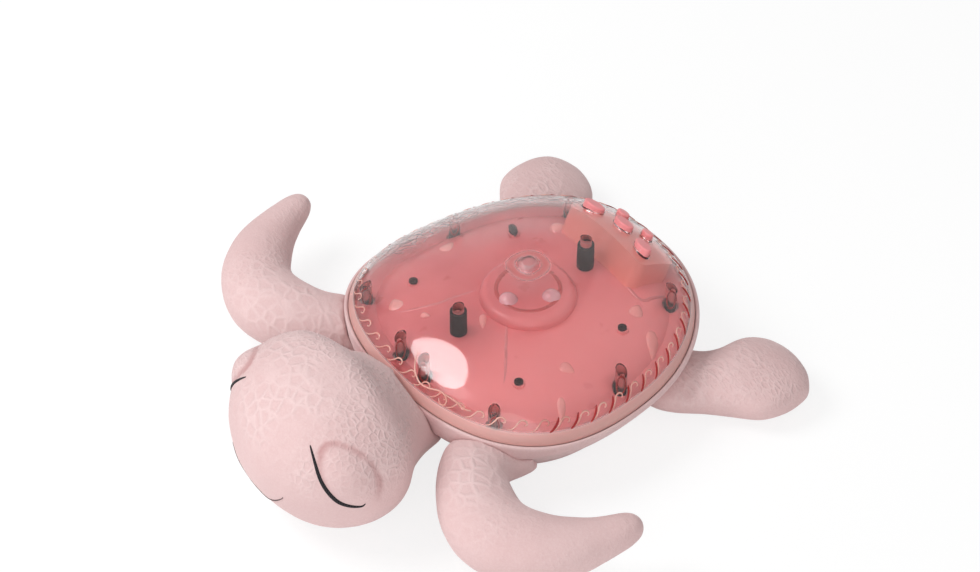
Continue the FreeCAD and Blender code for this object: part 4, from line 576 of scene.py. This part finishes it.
head = soft_copy("head", ["plush_head", "eyelid_left", "eyelid_right"], 0.0020, 6, 0.0007, head_fabric)
lid_tree = BVHTree.FromBMesh(joined_nodes(["eyelid_left", "eyelid_right"]))
skull_tree = BVHTree.FromBMesh(joined_nodes(["plush_head"]))


def head_scales(co, normal):
    """The net shows on the crown and fades towards the chin, the nose and the closed eyes."""
    low = step(co.z - HEAD.z, -0.006, 0.020)
    front = 1.0 - 0.75 * step(HEAD.y - co.y, 0.033, 0.046) * (1.0 - step(co.z - HEAD.z, 0.005, 0.028))
    return max(low * front, 0.06)


def head_fine(co, normal):
    """The net is finer at the back and sides of the head than on its forehead."""
    side = max(step(co.x - HEAD.x, 0.012, 0.040), step(HEAD.x - co.x, 0.030, 0.050))
    return max(side, step(co.y - HEAD.y, -0.012, 0.020))


def head_fold_shade(co, normal):
    """Painted shade in the fold where an eyelid meets the head: close to both surfaces."""
    lid = lid_tree.find_nearest(co, CREASE_REACH)[3]
    skull = skull_tree.find_nearest(co, CREASE_REACH)[3]
    if lid is None or skull is None:
        return 0.0
    near = (1.0 - step(lid, CREASE_FROM, CREASE_TO)) * (1.0 - step(skull, CREASE_FROM, CREASE_TO))
    return near * step(normal.z, -0.2, 0.3)


fill_out(head, 0.0009, lambda co: co.y > HEAD_SEAM_Y or co.z < TABLE_CONTACT)
paint(head, "fold_shade", head_fold_shade)
paint(head, "scales", head_scales)
paint(head, "fine", head_fine)
subdivide(head)


def front_scales(co, normal):
    """The net covers the top of a front flipper and fades towards its tip."""
    return max(0.9 * step(normal.z, -0.15, 0.45) * (1 - 0.6 * step(abs(co.x), 0.10, 0.15)), 0.1)


for word in ("left", "right"):
    node_name = "front_flipper_" + word
    flipper = soft_copy(node_name + "_plush", [node_name], 0.0020, 5, 0.0004, front_fabric)
    fill_out(flipper, 0.0010, lambda co: abs(co.x) < FRONT_SEAM_X)
    paint(flipper, "scales", front_scales)
    paint(flipper, "fine", lambda co, n: 0.6 * step(abs(co.x), 0.09, 0.13))
    subdivide(flipper)
    node_name = "rear_flipper_" + word
    flipper = soft_copy(node_name + "_plush", [node_name], 0.0018, 5, 0.0004, rear_fabric)
    fill_out(flipper, 0.0010, lambda co: abs(co.x) < REAR_SEAM_X or co.z < TABLE_CONTACT)
    paint(flipper, "scales", lambda co, n: max(step(n.z, -0.15, 0.4), 0.1))
    paint(flipper, "fine", lambda co, n: 0.3 + 0.4 * step(abs(co.x), 0.09, 0.12))
    subdivide(flipper)

# The body's outline going up: share of the shell's outline, what comes off it, and height over the table
BODY_LEVELS = [
    (PANEL_SCALE, -0.0003, 0.0080), (PANEL_SCALE, -0.0003, 0.0008), (PANEL_SCALE + 0.012, 0.0, 0.0001),
    (0.735, 0.0, 0.0), (0.752, 0.0, 0.0006), (0.767, 0.0, 0.0022), (0.783, 0.0, 0.0045), (0.800, 0.0, 0.0072),
    (0.818, 0.0, 0.0098), (0.843, 0.0, 0.0127), (0.869, 0.0, 0.0157), (0.893, 0.0, 0.0187),
    (0.915, 0.0, 0.0216), (0.934, 0.0, 0.0241), (0.951, 0.0, 0.0266), (0.968, 0.0, 0.0290),
    (0.983, 0.0, 0.0311), (0.996, 0.0, 0.0327), (1.007, 0.0, 0.0342), (1.017, 0.0, 0.0356)]
# The lip rolling over to the shell: what comes off the shell's outline, and height over its rim
LIP_LEVELS = [(-0.0025, -0.0022), (-0.0025, -0.0010), (-0.0022, -0.0001), (-0.0017, 0.0004),
              (-0.0011, 0.0005), (-0.0004, 0.0001), (-0.0001, -0.0005), (-0.0001, -0.0020)]
BODY_SIDES = 220
BODY_WAVE, BODY_WAVE_SCALE = 0.0011, 38.0
NECK_SHADE, NECK_SHADE_REACH = 0.7, 0.016


def body_rings():
    """The stuffed body: belly edge, swelling side, rolled lip at the shell and the wall of the pocket."""
    rings = [[Vector((*outline(angle, scale, inset), z)) for angle in circle_angles(BODY_SIDES)]
             for scale, inset, z in BODY_LEVELS]
    for inset, lift in LIP_LEVELS:
        edge = [outline(angle, 1.0, inset) for angle in circle_angles(BODY_SIDES)]
        rings.append([Vector((x, y, saddle(y) + lift)) for x, y in edge])
    for ring in rings:
        for p in ring:
            p.y += SHELL_Y
    return rings


def neck_shade(co, normal):
    """Painted shade: the fold between head and body is darker and redder than the open fabric."""
    gap = skull_tree.find_nearest(co, NECK_SHADE_REACH)[3]
    return 0.0 if gap is None else NECK_SHADE * (1.0 - step(gap, 0.001, NECK_SHADE_REACH))


verts, faces = rings_mesh(body_rings(), False, False)
body = make_object("body_plush", verts, faces, body_fabric)
for vert in body.data.vertices:
    swell = step(vert.co.z, 0.002, 0.012) * (1 - step(vert.co.z, 0.030, 0.038))
    out = Vector((vert.co.x, vert.co.y - SHELL_Y, 0)).normalized()
    vert.co += out * (BODY_WAVE * swell * noise.noise(vert.co * BODY_WAVE_SCALE))
paint(body, "scales", lambda co, n: 0.35 * step(co.z, 0.010, 0.025))
paint(body, "fold_shade", neck_shade)
subdivide(body)
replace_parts(body, "plush_body")

belly = soft_copy("belly_pad", ["belly_panel"], 0.0012, 2, 0.0, plain_fabric)
paint(belly, "scales", lambda co, n: 0.0)
flap = soft_copy("belly_flap_pad", ["belly_flap"], 0.0008, 2, 0.0, plain_fabric, body="belly_flap")
paint(flap, "scales", lambda co, n: 0.0)
for node_name, body_name in (("hook_strip", "belly_flap"), ("loop_strip", ROOT)):
    soft_copy(node_name + "_tape", [node_name], 0.0003, 1, 0.0, tape_fabric, body_name)


# Face
THREAD_LIFT, THREAD_FLATNESS, THREAD_END, THREAD_SIDES = 0.00012, 0.42, 0.22, 12
EYE_HALF_WIDTH, MOUTH_HALF_WIDTH = 0.00135, 0.00055
head_tree = BVHTree.FromObject(head, bpy.context.evaluated_depsgraph_get())


def on_head(offset):
    """The place on the head's skin in the direction of an offset from its centre, with its normal."""
    direction = offset.normalized()
    return head_tree.ray_cast(HEAD + direction * 0.12, -direction)[:2]


def stitched_line(name, offsets, half_width, node, material):
    """A flat satin stitch that is widest along its middle and runs out thin at both ends."""
    parts = []
    for one in offsets:
        places = [on_head(o) for o in spline([Vector(o) for o in one], 10)]
        points = [hit + normal * THREAD_LIFT for hit, normal in places]
        for _ in range(3):
            inner = [(points[i - 1] + points[i] * 2 + points[i + 1]) / 4 for i in range(1, len(points) - 1)]
            points = [points[0]] + inner + [points[-1]]
        shares = [min(i / (len(points) - 1) * 1.02, 1.0) for i in range(len(points))]
        radii = [half_width * (THREAD_END + (1.0 - THREAD_END) * math.sin(math.pi * share) ** 0.8)
                 for share in shares]
        parts.append(tube(points, radii, [normal for hit, normal in places], THREAD_FLATNESS, THREAD_SIDES))
    verts, faces = merge(parts)
    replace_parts(make_object(name, verts, faces, material), node)


# Half of each line, as offsets from the head's centre
EYE = [(0.0303, -0.0271, 0.0310), (0.0361, -0.0284, 0.0243), (0.0417, -0.0292, 0.0165),
       (0.0463, -0.0278, 0.0095), (0.0505, -0.0246, 0.0036), (0.0540, -0.0200, 0.0002),
       (0.0566, -0.0146, -0.0010), (0.0572, -0.0128, 0.0010)]
MOUTH = [(0.0, -0.0410, -0.0243), (0.0066, -0.0418, -0.0212), (0.0107, -0.0424, -0.0186),
         (0.0159, -0.0429, -0.0143), (0.0203, -0.0430, -0.0099), (0.0239, -0.0425, -0.0057),
         (0.0243, -0.0424, -0.0042)]


def mirrored(points):
    return [(-x, y, z) for x, y, z in points]


SMILE = mirrored(MOUTH)[::-1] + MOUTH[1:]
stitched_line("closed_eyes", [EYE, mirrored(EYE)], EYE_HALF_WIDTH, "eye_stitching",
              black_stitch)
stitched_line("smile", [SMILE], MOUTH_HALF_WIDTH, "mouth_stitching", grey_stitch)


# Relief of the dome and the tray
def on_surface(height, x, y, lift=0.0):
    """A point over a height field, about the shell's middle, lifted along its normal."""
    normal = surface_normal(height, x, y)
    return Vector((x, y + SHELL_Y, height(x, y))) + normal * lift, normal


def raised_line(height, plan, radius, lift=0.0, flat=0.6, steps=6, sides=8):
    """A moulded line through plan points, lying on a height field."""
    path = spline([Vector((x, y, 0)) for x, y in plan], steps)
    places = [on_surface(height, p.x, p.y, lift) for p in path]
    count = len(path)
    radii = [radius * (0.35 + 0.65 * math.sin(math.pi * i / (count - 1)) ** 0.5) for i in range(count)]
    return tube([point for point, normal in places], radii, [normal for point, normal in places], flat, sides)


# The wave border, as pairs of a length along the rim and a depth in from it
BORDER_SCALE, BORDER_SLOPE = 0.964, 6.4
CURL = [(0.0, 0.0), (0.0024, 0.0008), (0.0046, 0.0030), (0.0062, 0.0055), (0.0085, 0.0064), (0.0104, 0.0053),
        (0.0103, 0.0036), (0.0090, 0.0034)]
STROKE = [(-0.0016, -0.0008), (0.0006, 0.0006), (0.0030, 0.0036), (0.0044, 0.0070)]
CURL_COUNT, CURL_RADIUS, STROKE_RADIUS = 48, 0.00048, 0.0007
# The red strokes, a painted reflection of the clear relief seen at a slant, run along the rim behind this
# place, about the shell's middle
STROKES_BEHIND = -0.046
# The two larger waves at the front, as plan points
FRONT_WAVES = [
    [(0.0049, -0.0795), (0.0085, -0.0842), (0.0130, -0.0876), (0.0197, -0.0894), (0.0262, -0.0880),
     (0.0310, -0.0858), (0.0352, -0.0845), (0.0388, -0.0852), (0.0392, -0.0872), (0.0365, -0.0882),
     (0.0343, -0.0874)],
    [(0.0352, -0.0845), (0.0400, -0.0832), (0.0445, -0.0820), (0.0490, -0.0812), (0.0531, -0.0788)]]
FRONT_WAVE_RADIUS, FRONT_WAVE_FLATNESS = 0.00062, 0.8


class RimRuler:
    """Turns a length along the rim and a depth from it into a plan point of the shell."""

    STEPS = 1440

    def __init__(self, scale):
        self.scale = scale
        self.angles = [2 * math.pi * i / self.STEPS for i in range(self.STEPS + 1)]
        points = [Vector(outline(a, scale)) for a in self.angles]
        self.lengths = [0.0]
        for a, b in zip(points, points[1:]):
            self.lengths.append(self.lengths[-1] + (b - a).length)
        self.total = self.lengths[-1]

    def place(self, along, inward):
        along %= self.total
        high = bisect.bisect_right(self.lengths, along)
        low = high - 1
        share = (along - self.lengths[low]) / (self.lengths[high] - self.lengths[low])
        angle = self.angles[low] + (self.angles[high] - self.angles[low]) * share
        return outline(angle, self.scale - inward * BORDER_SLOPE)


ruler = RimRuler(BORDER_SCALE)
pitch = ruler.total / CURL_COUNT
curls, strokes = [], []
for k in range(CURL_COUNT):
    plan = [ruler.place(k * pitch + along, inward) for along, inward in CURL]
    curls.append(raised_line(dome_z, plan, CURL_RADIUS, steps=4))
    if ruler.place((k + 0.5) * pitch, 0.0)[1] > STROKES_BEHIND:
        plan = [ruler.place(k * pitch + along, inward) for along, inward in STROKE]
        strokes.append(raised_line(dome_z, plan, STROKE_RADIUS, steps=4))
for wave in FRONT_WAVES:
    curls.append(raised_line(dome_z, wave, FRONT_WAVE_RADIUS, flat=FRONT_WAVE_FLATNESS))
# Curls of the wave border: real relief, coloured with a painted highlight
verts, faces = merge(curls)
make_object("wave_border", verts, faces, border_highlight_tan)
verts, faces = merge(strokes)
make_object("wave_border_reflection_strokes", verts, faces, border_reflection_red)

# Upright red loops on the faces of the screw posts, a painted reflection of the red inside in the clear
# posts, turned towards the camera. The posts on the right mirror these on the left
POSTS = ((0.0605, -0.0690), (0.0110, -0.0800), (0.0775, 0.0050), (0.0465, 0.0660))
POST_FACE = 0.0033
LOOP_ACROSS, LOOP_ALONG, LOOP_TUBE, LOOP_LIFT = 0.0024, 0.0068, 0.00065, 0.0004
LOOP_SIDES, LOOP_TUBE_SIDES = 28, 8
facing = Vector((math.sin(CAMERA_AZIMUTH), -math.cos(CAMERA_AZIMUTH), 0))
sideways = Vector((math.cos(CAMERA_AZIMUTH), math.sin(CAMERA_AZIMUTH), 0))


def post_reflection_loop(x, y):
    """A thin upright ring on the face of the post at a plan place, a painted reflection turned towards the
    camera.
    """
    face = Vector((x, y, 0)) + facing * POST_FACE
    top = dome_z(face.x, face.y, DOME_WALL) - LOOP_LIFT
    centre = Vector((face.x, face.y + SHELL_Y, top - LOOP_ALONG - LOOP_TUBE))
    loop = []
    for a in circle_angles(LOOP_SIDES):
        spoke = sideways * (LOOP_ACROSS * math.cos(a)) + Vector((0, 0, LOOP_ALONG * math.sin(a)))
        out = spoke.normalized()
        loop.append([centre + spoke + out * (LOOP_TUBE * math.cos(b)) + facing * (LOOP_TUBE * math.sin(b))
                     for b in circle_angles(LOOP_TUBE_SIDES)])
    return rings_mesh(loop + [loop[0]], False, False)


verts, faces = merge([post_reflection_loop(side * x, y) for x, y in POSTS for side in (1, -1)])
make_object("post_reflection_rings", verts, faces, post_reflection_red)

DROP_SIDES, DROP_LEVELS, DROP_HEIGHT, DROP_SINK, DROP_POINT = 20, 5, 0.0013, 0.0004, 0.45


def teardrop(x, y, width, length, turn):
    """A low drop on the tray, pointed at one end."""
    c, s = math.cos(turn), math.sin(turn)
    verts, faces = [], []
    for level in range(DROP_LEVELS):
        t = level / DROP_LEVELS
        ring = math.cos(t * math.pi / 2)
        rise = DROP_HEIGHT * math.sin(t * math.pi / 2) - DROP_SINK * (1 - t)
        for a in circle_angles(DROP_SIDES):
            u = math.cos(a) * length / 2 * ring
            v = math.sin(a) * width / 2 * ring * (1 - DROP_POINT * math.cos(a))
            verts.append(on_surface(tray_z, x + u * c - v * s, y + u * s + v * c, rise)[0])
    verts.append(on_surface(tray_z, x, y, DROP_HEIGHT)[0])
    for level in range(DROP_LEVELS - 1):
        for k in range(DROP_SIDES):
            low, high = level * DROP_SIDES, (level + 1) * DROP_SIDES
            j = (k + 1) % DROP_SIDES
            faces.append((low + k, low + j, high + j, high + k))
    last = (DROP_LEVELS - 1) * DROP_SIDES
    for k in range(DROP_SIDES):
        faces.append((last + k, last + (k + 1) % DROP_SIDES, len(verts) - 1))
    return verts, faces


# Plan place, width, length and turn of each drop
TOWARDS_CAMERA = math.atan2(-0.60, 0.80)
DROPS = [(0.0733, -0.0331, 0.0048, 0.0150, TOWARDS_CAMERA), (0.0560, -0.0156, 0.0070, 0.0090, 0.4),
         (0.0646, 0.0383, 0.0062, 0.0170, TOWARDS_CAMERA), (0.0439, 0.0432, 0.0075, 0.0090, 2.2),
         (-0.0646, -0.0091, 0.0075, 0.0110, 1.9), (-0.0219, -0.0554, 0.0040, 0.0060, 0.6),
         (-0.0425, -0.0616, 0.0085, 0.0100, 2.8), (0.0013, -0.0327, 0.0040, 0.0120, TOWARDS_CAMERA),
         (-0.0360, 0.0500, 0.0060, 0.0100, 0.9)]
verts, faces = merge([teardrop(*drop) for drop in DROPS])
make_object("tray_drops", verts, faces, coral_drop)

CAP_RING, CAP_RING_TUBE, CAP_RING_FLATNESS, CAP_RING_STEPS = 0.0180, 0.0012, 0.4, 64
ring_path = [Vector((CAP_RING * math.cos(a), SHELL_Y + CAP_RING * math.sin(a), CAP_TOP))
             for a in circle_angles(CAP_RING_STEPS) + [2 * math.pi]]
verts, faces = tube(ring_path, [CAP_RING_TUBE] * len(ring_path), None, CAP_RING_FLATNESS)
make_object("cap_ring", verts, faces, coral_deep)

RIDGES = [[(-0.0418, -0.0700), (-0.0320, -0.0600), (-0.0257, -0.0460), (-0.0238, -0.0339),
           (-0.0210, -0.0183)],
          [(0.0024, -0.0167), (0.0203, -0.0308), (0.0407, -0.0469), (0.0510, -0.0581)],
          [(0.0109, 0.0507), (0.0252, 0.0502), (0.0385, 0.0505), (0.0400, 0.0590), (0.0400, 0.0680)]]
RIDGE_RADIUS, RIDGE_LIFT, RIDGE_FLATNESS = 0.0011, -0.0003, 0.55
verts, faces = merge([raised_line(tray_z, ridge, RIDGE_RADIUS, RIDGE_LIFT, RIDGE_FLATNESS, 8)
                      for ridge in RIDGES])
make_object("tray_ridges", verts, faces, coral_ridge)


# Rubber under the buttons: the CAD sheet without its domes, and a dome for each button
BUTTON_NODES = ["button_light", "button_wave", "button_sound", "button_volume_down", "button_volume_up"]
KEYPAD_TILT = math.radians(26.0)
RUBBER_DOME, RUBBER_SPREAD, BUTTON_STROKE = 0.0019, 4.0 / 3.0, 0.0012
RUBBER_FILM, RUBBER_EDGE, SQUASH_SPARE, RUBBER_SIDES = 0.00004, 0.0001, 0.95, 32
rubber_up = Vector((0, math.sin(KEYPAD_TILT), math.cos(KEYPAD_TILT)))
rubber_back = Vector((0, rubber_up.z, -rubber_up.y))
button_middles = {name: Vector([sum(c) / 2 for c in zip(*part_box(name))]) for name in BUTTON_NODES}
rubber = joined_nodes(["rubber_keypad"])
bmesh.ops.remove_doubles(rubber, verts=rubber.verts, dist=1e-6)
rubber_top = max(vert.co.dot(rubber_up) for vert in rubber.verts)
dome_tops = {name: [] for name in BUTTON_NODES}
for vert in rubber.verts:
    if vert.co.dot(rubber_up) > rubber_top - RUBBER_EDGE:
        nearest_button = min(BUTTON_NODES, key=lambda name: (button_middles[name] - vert.co).length)
        dome_tops[nearest_button].append(vert.co.copy())
sheet_top = rubber_up * (rubber_top - RUBBER_DOME + RUBBER_FILM)
geometry = rubber.verts[:] + rubber.edges[:] + rubber.faces[:]
bmesh.ops.bisect_plane(rubber, geom=geometry, plane_co=sheet_top, plane_no=rubber_up, clear_outer=True)
bmesh.ops.holes_fill(rubber, edges=[edge for edge in rubber.edges if edge.is_boundary])
rubber.verts.index_update()
verts = [vert.co.copy() for vert in rubber.verts]
faces = [tuple(vert.index for vert in face.verts) for face in rubber.faces]
rubber.free()
sheet = make_object("rubber_sheet", verts, faces, rubber_grey, smooth=False)
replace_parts(sheet, "rubber_keypad")
for name, circle in dome_tops.items():
    centre = sum(circle, Vector()) / len(circle)
    radius = sum((p - centre).length for p in circle) / len(circle)
    rings = []
    for depth, wide in ((RUBBER_DOME - RUBBER_FILM, radius * RUBBER_SPREAD), (0.0, radius)):
        rings.append([centre - rubber_up * depth + Vector((1, 0, 0)) * (wide * math.cos(a))
                      + rubber_back * (wide * math.sin(a)) for a in circle_angles(RUBBER_SIDES)])
    verts, faces = rings_mesh(rings)
    dome_name = name.replace("button", "rubber_dome")
    dome = make_object(dome_name, verts, faces, rubber_grey, smooth=False)
    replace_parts(dome, "rubber_keypad")
    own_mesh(dome)


# Light, floor and camera
LAMP_AIM = Vector((0, 0, 0.05))
WORLD_STRENGTH = 0.45
FLOOR_HALF, FLOOR_Z, FLOOR_GLOW, FLOOR_GLOW_SHARE = 6.0, -0.0003, 1.06, 0.75


def soft_box(name, direction, distance, size, power):
    """A round soft lamp that shines at the object from a direction."""
    lamp = bpy.data.lights.new(name, "AREA")
    lamp.shape = "DISK"
    lamp.size = size
    lamp.energy = power
    obj = link_object(name, lamp)
    direction = Vector(direction).normalized()
    obj.location = LAMP_AIM + direction * distance
    obj.rotation_mode = "QUATERNION"
    obj.rotation_quaternion = direction.to_track_quat("Z", "Y")


soft_box("key", (-0.345, -0.493, 0.80), distance=1.2, size=0.64, power=7.6)
soft_box("fill", (0.62, -0.60, 0.40), distance=2.4, size=2.6, power=21.5)


def backdrop(name, strength):
    """A shader that shows plain white to the camera, in gloss and through glass, and lights softly."""
    world = bpy.data.worlds.new(name)
    bpy.context.scene.world = world
    world.use_nodes = True
    tree = world.node_tree
    plain = tree.nodes["Background"]
    plain.inputs["Color"].default_value = (1, 1, 1, 1)
    plain.inputs["Strength"].default_value = strength
    white = tree.nodes.new("ShaderNodeBackground")
    white.inputs["Strength"].default_value = 1.0
    path = tree.nodes.new("ShaderNodeLightPath")
    seen = path.outputs["Is Camera Ray"]
    for kind in ("Is Transmission Ray", "Is Glossy Ray"):
        either = tree.nodes.new("ShaderNodeMath")
        either.operation = "MAXIMUM"
        tree.links.new(seen, either.inputs[0])
        tree.links.new(path.outputs[kind], either.inputs[1])
        seen = either.outputs[0]
    mix = tree.nodes.new("ShaderNodeMixShader")
    tree.links.new(seen, mix.inputs[0])
    tree.links.new(plain.outputs[0], mix.inputs[1])
    tree.links.new(white.outputs[0], mix.inputs[2])
    tree.links.new(mix.outputs[0], tree.nodes["World Output"].inputs["Surface"])


backdrop("studio", WORLD_STRENGTH)

ground = Shader("floor_white")
ground_tone = ground.ramp(ground.noise(3.0).outputs["Fac"], 0.3, 0.7)
ground.set(Base_Color=ground.mix(ground_tone, (0.93, 0.93, 0.93, 1), (0.95, 0.95, 0.95, 1)), Roughness=0.9)
glow = ground.node("Emission", {"Strength": FLOOR_GLOW})
path = ground.node("LightPath")
seen = ground.math("MAXIMUM", path.outputs["Is Camera Ray"], path.outputs["Is Glossy Ray"])
seen = ground.math("MAXIMUM", seen, path.outputs["Is Transmission Ray"])
blend = ground.node("MixShader", {0: ground.math("MULTIPLY", seen, FLOOR_GLOW_SHARE)})
ground.tree.links.new(ground.main.outputs[0], blend.inputs[1])
ground.tree.links.new(glow.outputs[0], blend.inputs[2])
ground.tree.links.new(blend.outputs[0], ground.tree.nodes["Material Output"].inputs["Surface"])
floor_mesh = bpy.data.meshes.new("floor")
floor_mesh.from_pydata([(x * FLOOR_HALF, y * FLOOR_HALF, 0) for x, y in ((-1, -1), (1, -1), (1, 1), (-1, 1))],
                       [], [(0, 1, 2, 3)])
floor_mesh.materials.append(ground.material)
floor = link_object("floor", floor_mesh)
floor.location.z = FLOOR_Z

back = Vector((math.sin(CAMERA_AZIMUTH) * math.cos(CAMERA_ELEVATION),
               -math.cos(CAMERA_AZIMUTH) * math.cos(CAMERA_ELEVATION), math.sin(CAMERA_ELEVATION)))
lens = bpy.data.cameras.new("camera")
lens.sensor_width = SENSOR_WIDTH
lens.lens = FOCAL_PIXELS / PHOTO_WIDTH * SENSOR_WIDTH
lens.clip_start, lens.clip_end = 0.01, 50.0
camera = link_object("camera", lens)
camera.location = CAMERA_TARGET + back * CAMERA_DISTANCE
camera.rotation_mode = "QUATERNION"
camera.rotation_quaternion = back.to_track_quat("Z", "Y")
bpy.context.scene.camera = camera
bpy.context.scene.view_settings.view_transform = "Standard"
